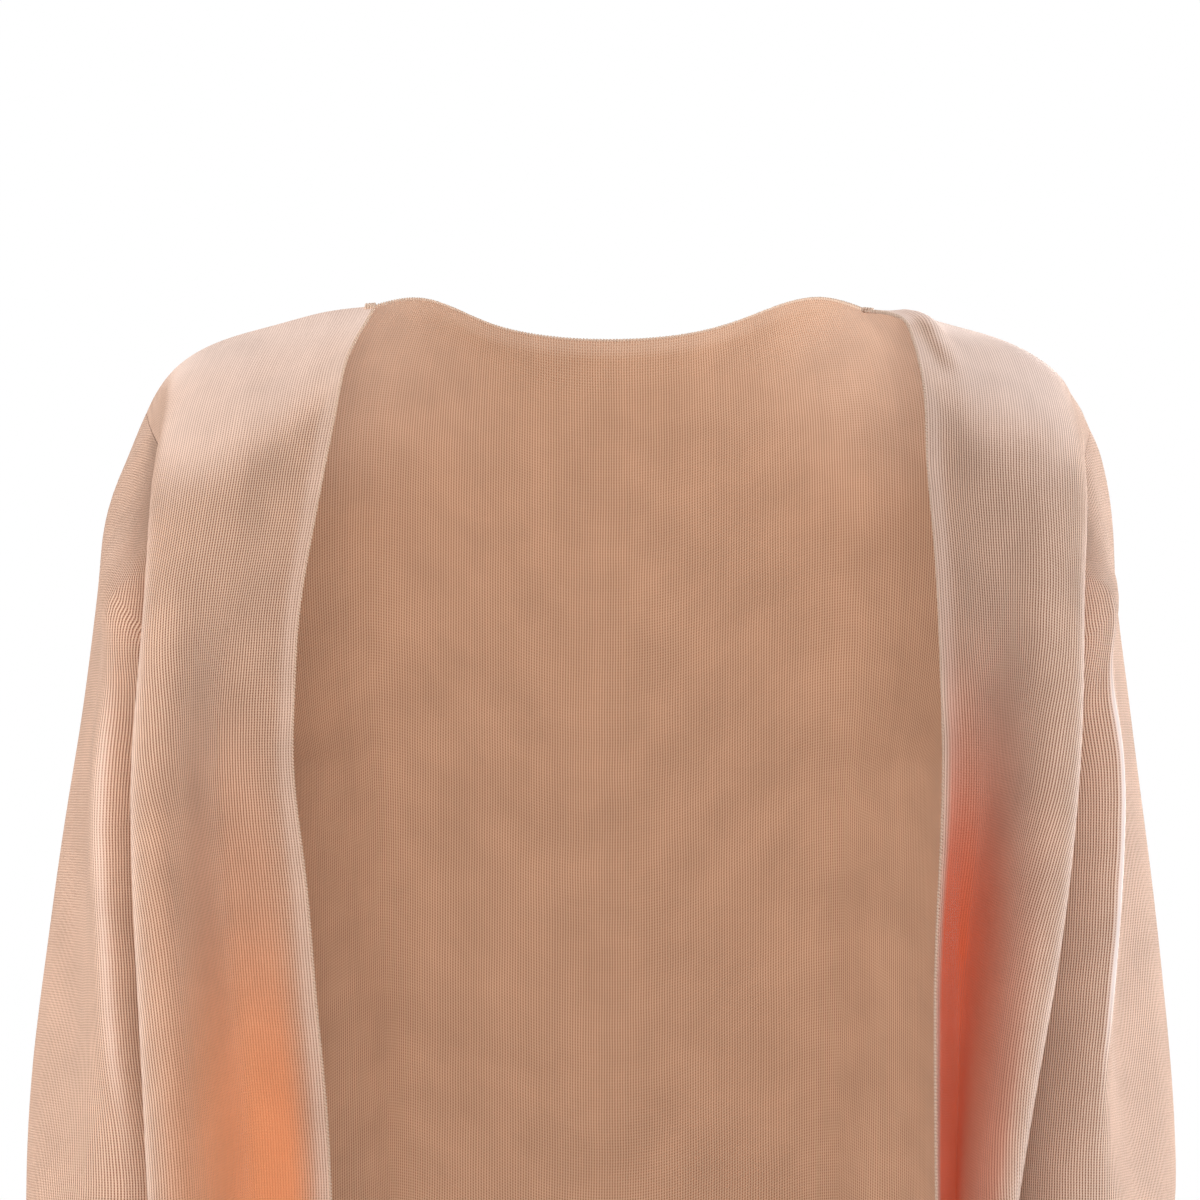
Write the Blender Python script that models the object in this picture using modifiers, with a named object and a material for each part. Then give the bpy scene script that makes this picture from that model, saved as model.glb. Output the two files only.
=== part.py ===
"""Fine-knit bolero, worn open: a back, two fronts and two sleeves as thin hollow walls.

+X is the wearer's left, the front faces -Y and +Z is up. The origin lies midway between
the neck ends of the shoulder seams. The tables hold millimetres: "out" is the distance
outwards from the middle plane, "y" grows towards the back and "up" is the height.
"""

import math
from collections import namedtuple

import bmesh
import bpy
import numpy as np

COLLECTION = "bolero"
MM = 0.001

WALL = 1.2
SEAM_GAP = 0.3
LIP = 5.0
SHARPEST_TURN = 2.4
INNER_SHARE = 0.45
UNDERARM_UP = -206.0
HEM_UP = -430.0

BACK_DEPTH_UNDERARM = 104.0
BACK_DEPTH_HEM = 97.0
BACK_SQUARENESS = 2.6
YOKE_POWERS = (1.5, 2.4, 1.0)
YOKE_SMOOTHING = 5
ARMHOLE_POWER = 3
NAPE_Y = 66.0
NAPE_UP = -15.0
NAPE_SIDE_OUT = 52.0
NAPE_SIDE_Y = 52.0
NAPE_SIDE_UP = -9.0
NECK_RISE_Y = 14.0
NECK_RISE_UP = 1.0
NECK_RISE_IN = 16.0
FOLD_MARGIN = 0.12

YOKE_ROWS = 16
BODY_ROWS = 10
NECK_STEPS = 16
SLEEVE_ROWS = 24
SLEEVE_SPREAD = 1.2
FRONT_STEPS = (3, 2, 3, 2, 2, 2, 2)
RING_STEPS = (3, 3, 3, 4, 3, 4, 4, 4, 4)
CURVE_SAMPLES = 200

RIGHT = -1
LEFT = 1

Finish = namedtuple("Finish", "name colour roughness")
KNIT = Finish("fine knit", (0.62, 0.40, 0.28, 1.0), 0.85)

# The shoulder seam, at each of the front's eight lines from the free edge to the armhole.
Seam = namedtuple("Seam", "out up")
RIGHT_SHOULDER = [
    Seam(104.0, -3.0),
    Seam(125.0, -5.5),
    Seam(146.0, -11.0),
    Seam(178.0, -21.5),
    Seam(192.0, -31.5),
    Seam(198.5, -40.0),
    Seam(201.5, -45.5),
    Seam(203.5, -50.0),
]
LEFT_SHOULDER = [
    Seam(112.0, -4.5),
    Seam(130.0, -6.5),
    Seam(150.0, -11.5),
    Seam(182.0, -22.5),
    Seam(196.5, -34.0),
    Seam(204.0, -44.0),
    Seam(207.5, -50.0),
    Seam(209.5, -56.0),
]

# Sections of the fronts. "slope" is the share of the shoulder's fall that a section keeps.
# Each section runs from the free edge over a broad trough and a brow to the crest of the
# side fold, turns back there and ends at the armhole or side seam.
Section = namedtuple(
    "Section",
    "up slope edge_out edge_y trough_out trough_y brow_out brow_y"
    " crest_out crest_y turn_out turn_y side_out side_y seam_out seam_y",
)
RIGHT_FRONT = [
    Section(-12, 0.98, 108, -14, 146, -16, 180, -19, 192.5, -20, 196, -19, 198, -18, 200, -16),
    Section(-28, 0.95, 115, -30, 148, -34, 181, -38, 193.5, -38, 194.5, -36, 194, -34, 192, -31),
    Section(-48, 0.88, 118.6, -45, 152, -51, 184, -56, 195.2, -56, 194.5, -50, 190.5, -46, 187, -40),
    Section(-72, 0.77, 123, -54, 156, -66, 186, -72, 196.3, -70, 193.5, -61, 187, -56, 184, -46),
    Section(-100, 0.62, 128, -60, 160, -75, 187.5, -82, 197.2, -79, 192.5, -68, 182, -61, 179, -48),
    Section(-136, 0.42, 134, -60, 164, -75, 189.5, -88, 199, -84, 193.5, -72, 174, -58, 170.5, -43.5),
    Section(-170, 0.21, 136.3, -58, 167.5, -70, 191.5, -91, 200.8, -87, 195.5, -75, 164, -42, 160.5, -27),
    Section(-206, 0.0, 136.7, -56, 169, -66, 193, -92, 202.2, -88, 197.5, -76, 154, -15, 150, 0),
    Section(-250, 0.0, 131.7, -55, 165, -58, 192.5, -93, 201.8, -89, 197, -77, 151, -14, 147, 2),
    Section(-300, 0.0, 127.4, -54, 159, -53, 190, -93, 199.5, -89, 194.5, -77, 149, -13, 144.5, 3),
    Section(-350, 0.0, 122.7, -54, 153, -50, 187.5, -93, 197.1, -89, 192, -77, 148, -13, 143, 4),
    Section(-430, 0.0, 120, -54, 149, -48, 184, -93, 193.5, -89, 188.5, -77, 147, -12, 142, 5),
]
LEFT_FRONT = [
    Section(-8.5, 0.98, 127.5, -14, 152, -16, 184, -19, 198, -20, 203, -17, 206.5, -15, 209.5, -12),
    Section(-15, 0.97, 131.5, -20, 155, -24, 186, -28, 200, -28, 204, -25, 206, -23, 207.5, -19.5),
    Section(-25, 0.95, 134, -29, 158, -34, 188, -39, 202, -37, 205, -34, 205.5, -32, 205, -28),
    Section(-46, 0.88, 136.6, -44, 160, -52, 192, -58, 203.6, -54, 203, -48, 200, -45, 197, -39),
    Section(-72, 0.77, 137, -55, 160, -66, 192.5, -73, 203.5, -69, 200, -60, 193.5, -56, 190, -46),
    Section(-100, 0.62, 139, -60, 161, -73, 191.5, -83, 202.2, -79, 197, -68, 186, -61, 183, -48),
    Section(-136, 0.42, 141.5, -58, 161.5, -71, 190.5, -88, 201.1, -84, 195, -72, 175.5, -58, 172, -43.5),
    Section(-170, 0.21, 143, -54, 158.5, -60, 189, -90, 200, -86, 194, -74, 164.5, -42, 161, -27),
    Section(-206, 0.0, 143.8, -51, 155.5, -52, 187, -91, 198.2, -87, 193, -75, 154, -15, 150, 0),
    Section(-250, 0.0, 142.6, -49, 152, -43, 183, -90, 194.2, -86, 190, -74, 152, -14, 148, 2),
    Section(-300, 0.0, 140.6, -48, 150, -36, 177, -87, 187.3, -83, 184, -71, 152, -13, 147, 3),
    Section(-350, 0.0, 140.4, -48, 149.5, -32, 169, -82, 178.9, -79, 177, -67, 152, -12, 147, 4),
    Section(-430, 0.0, 142, -48, 148.5, -32, 158, -74, 167, -73, 166.5, -61, 152, -12, 147, 5),
]

# The back half of each armhole, from the shoulder seam down to the underarm.
Armhole = namedtuple("Armhole", "out y up")
RIGHT_BACK_ARMHOLE = [
    Armhole(203.5, 0, -50),
    Armhole(201, 20, -64),
    Armhole(194, 40, -90),
    Armhole(185, 53, -120),
    Armhole(174, 54, -150),
    Armhole(161, 38, -181),
    Armhole(150, 0, -206),
]
LEFT_BACK_ARMHOLE = [
    Armhole(209.5, 0, -56),
    Armhole(207, 20, -68),
    Armhole(199, 40, -92),
    Armhole(188, 53, -121),
    Armhole(176, 54, -150),
    Armhole(162, 38, -181),
    Armhole(150, 0, -206),
]

# Soft folds that press into the hanging back: "across" runs from -1 at the wearer's right
# side seam to 1 at the left one, "lean" is how far a fold has moved across at the hem.
Fold = namedtuple("Fold", "across lean width depth start")
BACK_FOLDS = [
    Fold(-0.66, 0.05, 0.10, 6.5, -120),
    Fold(-0.44, 0.03, 0.10, -4.0, -150),
    Fold(-0.12, 0.04, 0.12, 2.5, -210),
    Fold(0.20, -0.03, 0.12, -2.5, -230),
    Fold(0.46, -0.02, 0.10, -4.0, -160),
    Fold(0.68, -0.06, 0.10, 7.0, -130),
]

# Heights of the sleeves' rings and their shared points, on the inner and the back side.
Ring = namedtuple(
    "Ring",
    "outer_up inner_up under_out under_y infront_out infront_y front_out front_y"
    " outback_out outback_y back_out back_y inback_out inback_y",
)
RINGS = [
    Ring(-80, -214, 157, 4, 167, -26, 186, -48, 209, 30, 188, 56, 167, 34),
    Ring(-120, -226, 158, 6, 170, -30, 193, -53, 216, 36, 191, 63, 168, 42),
    Ring(-165, -244, 158, 7, 173, -32, 197, -54, 222, 42, 195, 67, 169, 46),
    Ring(-215, -268, 157, 8, 174, -31, 198, -54, 229, 46, 199, 68, 170, 47),
    Ring(-270, -304, 156, 9, 173, -30, 196, -53, 235, 48, 202, 69, 170, 48),
    Ring(-325, -345, 154, 10, 172, -28, 194, -52, 242, 49, 205, 69, 169, 48),
    Ring(-378, -390, 153, 11, 170, -25, 190, -50, 246, 48, 206, 67, 168, 46),
    Ring(-435, -442, 154, 8, 169, -22, 190, -49, 245, 40, 208, 60, 170, 40),
    Ring(-490, -492, 157, 4, 171, -23, 192, -50, 239, 30, 207, 48, 173, 32),
    Ring(-540, -540, 162, -2, 174, -27, 193, -51, 232, 22, 206, 38, 176, 24),
]
RING_HEIGHT_SHARE = (1.0, 0.8, 0.55, 0.33, 0.16, 0.0, 0.14, 0.5, 0.82)

# The points that differ between the sleeves: the front ridge, the side and the outline.
Ridge = namedtuple("Ridge", "crest_out crest_y side_out side_y outer_out outer_y")
RIGHT_RIDGES = [
    Ridge(209, -44, 215.5, -25, 215.4, 2),
    Ridge(216, -49, 220, -29, 223.6, 4),
    Ridge(218.5, -54, 223, -33, 230, 7),
    Ridge(220.5, -56, 225, -34, 238, 9),
    Ridge(218.5, -57, 227, -34, 245.8, 11),
    Ridge(215, -56, 230, -34, 253.5, 12),
    Ridge(209, -53, 238, -30, 257.4, 11),
    Ridge(212, -50, 243, -28, 256, 6),
    Ridge(214, -52, 239, -30, 249, 0),
    Ridge(213, -53, 234, -34, 241, -6),
]
LEFT_RIDGES = [
    Ridge(210, -44, 215.5, -25, 217.2, 2),
    Ridge(215, -50, 217.5, -31, 221.3, 4),
    Ridge(218, -56, 217, -34, 227, 7),
    Ridge(219, -58, 217, -35, 233, 9),
    Ridge(216.5, -58, 217, -34, 239.3, 11),
    Ridge(212, -57, 218, -32, 244.7, 12),
    Ridge(209, -53, 226, -27, 248.2, 11),
    Ridge(211, -46, 235, -24, 247, 6),
    Ridge(211, -49, 232, -28, 241, 0),
    Ridge(208, -50, 227, -32, 234, -6),
]

# The way that the sleeve leaves the armhole seam at each ring point.
Lead = namedtuple("Lead", "out y up")
LEADS = [
    Lead(0.95, 0.05, -0.30),
    Lead(0.90, 0.30, -0.30),
    Lead(0.90, 0.40, -0.20),
    Lead(0.85, 0.45, -0.30),
    Lead(0.75, 0.30, -0.60),
    Lead(0.40, 0.00, -0.92),
    Lead(0.70, -0.25, -0.65),
    Lead(0.85, -0.20, -0.50),
    Lead(0.93, -0.10, -0.35),
]


def unit(vectors):
    """Vectors of length one."""
    return vectors / np.linalg.norm(vectors, axis=-1, keepdims=True)


def spline(knots, values, places):
    """Natural cubic through one row of values for each knot, read at the places."""
    knots = np.asarray(knots, float)
    values = np.asarray(values, float)
    places = np.asarray(places, float)
    size = len(knots)
    step = np.diff(knots)
    matrix = np.eye(size)
    right = np.zeros_like(values)
    for i in range(1, size - 1):
        matrix[i, i - 1 : i + 2] = step[i - 1], 2 * (step[i - 1] + step[i]), step[i]
        right[i] = 6 * (values[i + 1] - values[i]) / step[i]
        right[i] -= 6 * (values[i] - values[i - 1]) / step[i - 1]
    bend = np.linalg.solve(matrix, right)
    span = np.clip(np.searchsorted(knots, places, side="right") - 1, 0, size - 2)
    width = step[span][:, None]
    low = (knots[span + 1] - places)[:, None] / width
    high = 1 - low
    curve = (low**3 - low) * bend[span] + (high**3 - high) * bend[span + 1]
    return low * values[span] + high * values[span + 1] + curve * width**2 / 6


def lengths(points):
    """Distance along a line of points, from its start."""
    steps = np.linalg.norm(np.diff(points, axis=0), axis=1)
    return np.concatenate([[0.0], np.cumsum(steps)])


def through(points, counts):
    """Smooth line through the points, with a count of steps between each two."""
    points = np.asarray(points, float)
    knots = lengths(points)
    places = [knots[0]]
    for start, end, count in zip(knots, knots[1:], counts):
        places += [start + (end - start) * (i + 1) / count for i in range(count)]
    return spline(knots, points, places)


def around(points, counts):
    """Smooth closed line through the points; the first point isn't repeated."""
    size = len(points)
    wrapped = [points[i % size] for i in range(-3, size + 4)]
    steps = [counts[i % size] for i in range(-3, size + 3)]
    line = through(wrapped, steps)
    first = sum(steps[:3])
    return line[first : first + sum(counts)]


def evenly(points, count):
    """Smooth line through the points, cut into a count of equal steps."""
    points = np.asarray(points, float)
    knots = lengths(points)
    return spline(knots, points, np.linspace(0, knots[-1], count + 1))


def front_sections(shoulder, rows):
    """The shoulder seam and the table's sections, each as a line of points."""
    falls = [point.up - shoulder[0].up for point in shoulder]
    sections = [through([(p.out, 0.0, p.up) for p in shoulder], FRONT_STEPS)]
    for row in rows:
        inner_out = row.edge_out + INNER_SHARE * (row.trough_out - row.edge_out)
        inner_y = row.edge_y + INNER_SHARE * (row.trough_y - row.edge_y)
        flat = [
            (row.edge_out, row.edge_y),
            (inner_out, inner_y),
            (row.trough_out, row.trough_y),
            (row.brow_out, row.brow_y),
            (row.crest_out, row.crest_y),
            (row.turn_out, row.turn_y),
            (row.side_out, row.side_y),
            (row.seam_out, row.seam_y),
        ]
        points = [(out, y, row.up + row.slope * fall) for (out, y), fall in zip(flat, falls)]
        sections.append(through(points, FRONT_STEPS))
    return np.array(sections)


def front_grid(side, shoulder, rows):
    """A front as rows of points, from the shoulder seam to the hem."""
    sections = front_sections(shoulder, rows)
    down = lengths(sections[:, -1])
    underarm = down[[row.up for row in rows].index(UNDERARM_UP) + 1]
    places = np.concatenate(
        [
            np.linspace(0, underarm, YOKE_ROWS + 1),
            np.linspace(underarm, down[-1], BODY_ROWS + 1)[1:],
        ]
    )
    grid = np.stack([spline(down, column, places) for column in sections.swapaxes(0, 1)], axis=1)
    grid[:, :, 0] *= side
    return grid


def back_neck(right_neck, left_neck):
    """The back neck curve between the neck ends of the shoulder seams."""
    rises = []
    for neck in (right_neck, left_neck):
        inward = -NECK_RISE_IN if neck[0] > 0 else NECK_RISE_IN
        rises.append((neck[0] + inward, NECK_RISE_Y, NECK_RISE_UP))
    points = [
        tuple(right_neck),
        rises[0],
        (-NAPE_SIDE_OUT, NAPE_SIDE_Y, NAPE_SIDE_UP),
        (0.0, NAPE_Y, NAPE_UP),
        (NAPE_SIDE_OUT, NAPE_SIDE_Y, NAPE_SIDE_UP),
        rises[1],
        tuple(left_neck),
    ]
    return evenly(points, NECK_STEPS)


def back_section(right_seam, left_seam, depth, across):
    """One level section of the back, squarer than an ellipse, between the side seams."""
    power = 2.0 / BACK_SQUARENESS
    turns = np.linspace(0, math.pi / 2, CURVE_SAMPLES)
    line = []
    for seam, sign in ((right_seam, -1), (left_seam, 1)):
        half = np.stack(
            [
                abs(seam[0]) * sign * np.cos(turns) ** power,
                seam[1] + (depth - seam[1]) * np.sin(turns) ** power,
                np.full_like(turns, seam[2]),
            ],
            axis=1,
        )
        along = lengths(half)
        share = 1 - np.abs(across[across <= 0] if sign < 0 else across[across > 0])
        line.append(
            np.stack([np.interp(share * along[-1], along, half[:, i]) for i in range(3)], axis=1)
        )
    return np.concatenate(line)


def fold_depths(across, ups):
    """How far the back's folds press in at each row and column."""
    amount = np.zeros((len(ups), len(across)))
    for fold in BACK_FOLDS:
        grown = np.clip((fold.start - ups) / (fold.start - HEM_UP), 0, 1)
        centre = fold.across + fold.lean * grown
        near = np.exp(-(((across[None, :] - centre[:, None]) / fold.width) ** 2))
        amount += fold.depth * grown[:, None] * near
    return amount * np.clip((1 - np.abs(across)) / FOLD_MARGIN, 0, 1)[None, :]


def back_grid(right_front, left_front):
    """The back as rows of points, sharing its seams' points with the fronts."""
    right_top = right_front[0][::-1]
    left_top = left_front[0]
    neck = back_neck(right_top[-1], left_top[0])
    top = np.concatenate([right_top, neck[1:-1], left_top])
    along = lengths(top)
    middle = np.interp(0.0, top[:, 0], along)
    across = np.where(
        along <= middle, along / middle - 1, (along - middle) / (along[-1] - middle)
    )
    holes = []
    for side, table in ((RIGHT, RIGHT_BACK_ARMHOLE), (LEFT, LEFT_BACK_ARMHOLE)):
        hole = evenly(table, YOKE_ROWS)
        hole[:, 0] *= side
        holes.append(hole)
    seams = [front[YOKE_ROWS:, -1] for front in (right_front, left_front)]
    underarm = back_section(seams[0][0], seams[1][0], BACK_DEPTH_UNDERARM, across)

    rise = top - underarm
    rows = []
    for i in range(YOKE_ROWS + 1):
        left_over = 1 - i / YOKE_ROWS
        row = underarm + rise * left_over ** np.array(YOKE_POWERS)
        for _ in range(YOKE_SMOOTHING):
            rise[1:-1] = (rise[2:] + 2 * rise[1:-1] + rise[:-2]) / 4
        near_right = np.clip(-across, 0, 1)[:, None] ** ARMHOLE_POWER
        near_left = np.clip(across, 0, 1)[:, None] ** ARMHOLE_POWER
        pull_right = (holes[0][i] - row[0]) * near_right
        pull_left = (holes[1][i] - row[-1]) * near_left
        rows.append(row + pull_right + pull_left)
    for i in range(1, BODY_ROWS + 1):
        depth = BACK_DEPTH_UNDERARM + (BACK_DEPTH_HEM - BACK_DEPTH_UNDERARM) * i / BODY_ROWS
        row = back_section(seams[0][i], seams[1][i], depth, across)
        row[0] = seams[0][i]
        row[-1] = seams[1][i]
        rows.append(row)
    grid = np.array(rows)
    return grid + normals(grid) * fold_depths(across, grid[:, len(across) // 2, 2])[:, :, None]


def normals(grid):
    """Unit normals of a grid, towards the left of its rows' way across and down."""
    down = np.gradient(grid, axis=0)
    over = np.gradient(grid, axis=1)
    return unit(np.cross(down, over))


def sleeve_grid(side, front, back_hole, ridges):
    """A sleeve as rings of points, from the armhole seam to the cuff."""
    hole = np.concatenate([front[: YOKE_ROWS + 1, -1][::-1], back_hole[1:-1]])
    hole[:, 0] *= side
    leads = unit(around(LEADS, RING_STEPS))
    rings = [hole, hole + LIP * leads]
    for ring, ridge in zip(RINGS, ridges):
        flat = [
            (ring.under_out, ring.under_y),
            (ring.infront_out, ring.infront_y),
            (ring.front_out, ring.front_y),
            (ridge.crest_out, ridge.crest_y),
            (ridge.side_out, ridge.side_y),
            (ridge.outer_out, ridge.outer_y),
            (ring.outback_out, ring.outback_y),
            (ring.back_out, ring.back_y),
            (ring.inback_out, ring.inback_y),
        ]
        points = [
            (out, y, ring.outer_up + (ring.inner_up - ring.outer_up) * share)
            for (out, y), share in zip(flat, RING_HEIGHT_SHARE)
        ]
        rings.append(around(points, RING_STEPS))
    rings = np.array(rings)
    steps = np.linalg.norm(np.diff(rings, axis=0), axis=2).mean(axis=1)
    knots = np.concatenate([[0.0], np.cumsum(steps)])
    spread = np.linspace(0, 1, SLEEVE_ROWS) ** SLEEVE_SPREAD
    places = np.concatenate([[0.0], knots[1] + (knots[-1] - knots[1]) * spread])
    grid = np.stack([spline(knots, column, places) for column in rings.swapaxes(0, 1)], axis=1)
    grid[:, :, 0] *= side
    return grid


def setbacks(line, inside, beyond):
    """How far a piece's edge moves back from a seam's line, as a vector for each point.

    The walls stay clear of each other where the cloth bends at the seam.
    """
    tangent = unit(np.gradient(line, axis=0))
    ways = []
    for near in (inside, beyond):
        way = near - line
        way -= (way * tangent).sum(axis=1, keepdims=True) * tangent
        ways.append(unit(way))
    turn = np.arccos(np.clip(-(ways[0] * ways[1]).sum(axis=1), -1, 1))
    room = SEAM_GAP / 2 + WALL / 2 * np.tan(np.minimum(turn, SHARPEST_TURN) / 2)
    return ways[0] * room[:, None], ways[1] * room[:, None]


def build_grids():
    """The five pieces' grids, each parted from its neighbours along the seams."""
    right = front_grid(RIGHT, RIGHT_SHOULDER, RIGHT_FRONT)
    left = front_grid(LEFT, LEFT_SHOULDER, LEFT_FRONT)
    back = back_grid(right, left)
    sleeves = {
        RIGHT: sleeve_grid(RIGHT, right, back[: YOKE_ROWS + 1, 0], RIGHT_RIDGES),
        LEFT: sleeve_grid(LEFT, left, back[: YOKE_ROWS + 1, -1], LEFT_RIDGES),
    }
    count = sum(FRONT_STEPS)
    moves = {name: [] for name in ("right", "left", "back")}
    for name, front, side in (("right", right, RIGHT), ("left", left, LEFT)):
        inward = 1 if side == RIGHT else -1
        edge = 0 if side == RIGHT else -1
        if side == RIGHT:
            shoulder = slice(count, None, -1)
        else:
            shoulder = slice(back.shape[1] - 1 - count, None)
        own, other = setbacks(front[0], front[1], back[1][shoulder])
        moves[name].append(((0, slice(None)), own))
        moves["back"].append(((0, shoulder), other))

        side_rows = slice(YOKE_ROWS, None)
        beside = back[side_rows, edge + inward]
        own, other = setbacks(front[side_rows, -1], front[side_rows, -2], beside)
        moves[name].append(((side_rows, -1), own))
        moves["back"].append(((side_rows, edge), other))

        sleeve = sleeves[side]
        hole_rows = slice(0, YOKE_ROWS + 1)
        front_hole = np.arange(YOKE_ROWS, -1, -1)
        back_hole = np.arange(YOKE_ROWS, 2 * YOKE_ROWS + 1) % sleeve.shape[1]
        own, first = setbacks(front[hole_rows, -1], front[hole_rows, -2], sleeve[1][front_hole])
        moves[name].append(((hole_rows, -1), own))
        beside = back[hole_rows, edge + inward]
        other, second = setbacks(back[hole_rows, edge], beside, sleeve[1][back_hole])
        moves["back"].append(((hole_rows, edge), other))
        ring = np.zeros_like(sleeve[0])
        ring[back_hole] = second
        ring[front_hole] = first
        sleeve[0] += ring
    for name, grid in (("right", right), ("left", left), ("back", back)):
        for where, move in moves[name]:
            grid[where] += move
    return right, left, back, sleeves


def make_material(finish):
    """A plain material in the cloth's colour."""
    material = bpy.data.materials.new(finish.name)
    material.use_nodes = True
    shader = material.node_tree.nodes["Principled BSDF"]
    shader.inputs["Base Color"].default_value = finish.colour
    shader.inputs["Roughness"].default_value = finish.roughness
    shader.inputs["Metallic"].default_value = 0.0
    return material


def make_wall(name, grid, closed, collection):
    """A piece of cloth: its grid as an open surface, thickened to both sides."""
    rows, columns = grid.shape[:2]
    surface = bmesh.new()
    points = [[surface.verts.new(point * MM) for point in row] for row in grid]
    for i in range(rows - 1):
        for j in range(columns if closed else columns - 1):
            after = (j + 1) % columns
            surface.faces.new(
                (points[i][j], points[i + 1][j], points[i + 1][after], points[i][after])
            )
    mesh = bpy.data.meshes.new(name)
    surface.to_mesh(mesh)
    surface.free()
    mesh.shade_smooth()
    cloth = bpy.data.objects.new(name, mesh)
    collection.objects.link(cloth)
    mesh.materials.append(make_material(KNIT._replace(name=name + " knit")))
    wall = cloth.modifiers.new("cloth wall", "SOLIDIFY")
    wall.thickness = WALL * MM
    wall.offset = 0.0
    wall.use_rim = True
    return cloth


def main():
    """Build the bolero in a collection of its own."""
    for old in list(bpy.data.objects):
        bpy.data.objects.remove(old)
    collection = bpy.data.collections.new(COLLECTION)
    bpy.context.scene.collection.children.link(collection)
    right, left, back, sleeves = build_grids()
    make_wall("back", back, False, collection)
    make_wall("front_right", right, False, collection)
    make_wall("front_left", left, False, collection)
    make_wall("sleeve_right", sleeves[RIGHT], True, collection)
    make_wall("sleeve_left", sleeves[LEFT], True, collection)


main()
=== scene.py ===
"""Dress the bolero: five pieces of fine knit, chains along their edges and linked seams.

The pieces follow the same tables as the solids, cut finer, so they lie on the solids' form.
The tables hold millimetres: "out" is the distance outwards from the middle plane, "y" grows
towards the back and "up" is the height. Meshes, UV maps and finishes are in metres.
"""

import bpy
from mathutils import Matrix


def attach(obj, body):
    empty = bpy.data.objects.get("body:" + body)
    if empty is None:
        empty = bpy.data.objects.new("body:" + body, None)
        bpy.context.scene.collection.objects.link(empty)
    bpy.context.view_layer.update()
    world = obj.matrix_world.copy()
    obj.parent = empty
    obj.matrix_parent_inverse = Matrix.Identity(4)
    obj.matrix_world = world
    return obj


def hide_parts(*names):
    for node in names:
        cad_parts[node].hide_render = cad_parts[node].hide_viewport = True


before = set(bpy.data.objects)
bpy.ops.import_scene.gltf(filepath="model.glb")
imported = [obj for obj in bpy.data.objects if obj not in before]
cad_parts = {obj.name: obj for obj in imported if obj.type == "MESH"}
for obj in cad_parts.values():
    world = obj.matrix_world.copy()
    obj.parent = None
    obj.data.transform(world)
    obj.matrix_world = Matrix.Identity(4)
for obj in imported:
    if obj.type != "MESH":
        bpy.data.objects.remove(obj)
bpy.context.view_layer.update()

import logging
import math
from collections.abc import Sequence
from dataclasses import dataclass, field, replace
from enum import Enum
from typing import NamedTuple

import bpy
import numpy as np
from mathutils import Vector, noise

logger = logging.getLogger("bolero")

Points = np.ndarray
Colour = tuple[float, float, float, float]

MM = 0.001
BLACK = (0.0, 0.0, 0.0, 1.0)
WHITE = (1.0, 1.0, 1.0, 1.0)

WALL = 1.2
SEAM_GAP = 0.3
LIP = 5.0
SHARPEST_TURN = 2.4
INNER_SHARE = 0.45
UNDERARM_UP = -206.0
HEM_UP = -430.0

BACK_DEPTH_UNDERARM = 104.0
BACK_DEPTH_HEM = 97.0
BACK_SQUARENESS = 2.6
YOKE_POWERS = (1.5, 2.4, 1.0)
YOKE_SMOOTHING = 5
ARMHOLE_POWER = 3
NAPE_Y = 66.0
NAPE_UP = -15.0
NAPE_SIDE_OUT = 52.0
NAPE_SIDE_Y = 52.0
NAPE_SIDE_UP = -9.0
NECK_RISE_Y = 14.0
NECK_RISE_UP = 1.0
NECK_RISE_IN = 16.0
FOLD_MARGIN = 0.12

# The pieces are cut this many times finer than the solids.
DETAIL = 4
YOKE_ROWS = 16 * DETAIL
BODY_ROWS = 10 * DETAIL
NECK_STEPS = 16 * DETAIL
SLEEVE_ROWS = 20 * DETAIL + 1
SLEEVE_SPREAD = 1.2
CAP_ROW = 2 * DETAIL
CAP_SMOOTHING = 3 * DETAIL
FRONT_STEPS = tuple(DETAIL * steps for steps in (3, 2, 3, 2, 2, 2, 2))
RING_STEPS = tuple(DETAIL * steps for steps in (3, 3, 3, 4, 3, 4, 4, 4, 4))
CURVE_SAMPLES = 200 * DETAIL
# How many steps of a section and of a ring lie before the fold's crest, the front ridge and
# the outline, and how far a closed line is drawn past its ends to close smoothly.
FRONT_CREST = sum(FRONT_STEPS[:4])
RING_CREST = sum(RING_STEPS[:3])
RING_OUTLINE = sum(RING_STEPS[:5])
OVERLAP = 3

# Unevenness of the hanging cloth: its size across and down, its rise and its draw.
UNEVEN_ACROSS = 26.0
UNEVEN_DOWN = 70.0
UNEVEN_RISE = 0.8
UNEVEN_DRAW = 0.5

# The share of its length over which a crease fades at each end, and the sharpness of its
# painted highlight.
CREASE_END = 0.25
SHINE_POWER = 3

# The faces of a yarn link, round it and along it.
LINK_SEGMENTS = 6
LINK_RINGS = 5

KNIT_MAP = "knit"
PAINTED_GLOW = "warmth"
GLOW = "glow"
LIT = "lit"
TO_EDGE = "to_edge"
FACING = "facing"
RIM_ANGLE = math.radians(55)


class Side(Enum):
    """The wearer's side that a piece belongs to; its value is the sign of X."""

    RIGHT = -1
    LEFT = 1


class SeamPoint(NamedTuple):
    """A point of the shoulder seam."""

    out: float
    up: float


class Section(NamedTuple):
    """A section of a front.

    Attributes:
        up: its height at the free edge.
        slope: how much of the shoulder seam's fall it follows.
        points: its points, as out and y, from the free edge over the trough, the fold's brow,
            crest and turn and the side to the armhole or side seam.
    """

    up: float
    slope: float
    points: Points


class HolePoint(NamedTuple):
    """A point of the back half of an armhole."""

    out: float
    y: float
    up: float


class BackFold(NamedTuple):
    """A soft fold that hangs in the back, placed between the side seams at -1 and 1."""

    across: float
    lean: float
    width: float
    depth: float
    start: float


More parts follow.
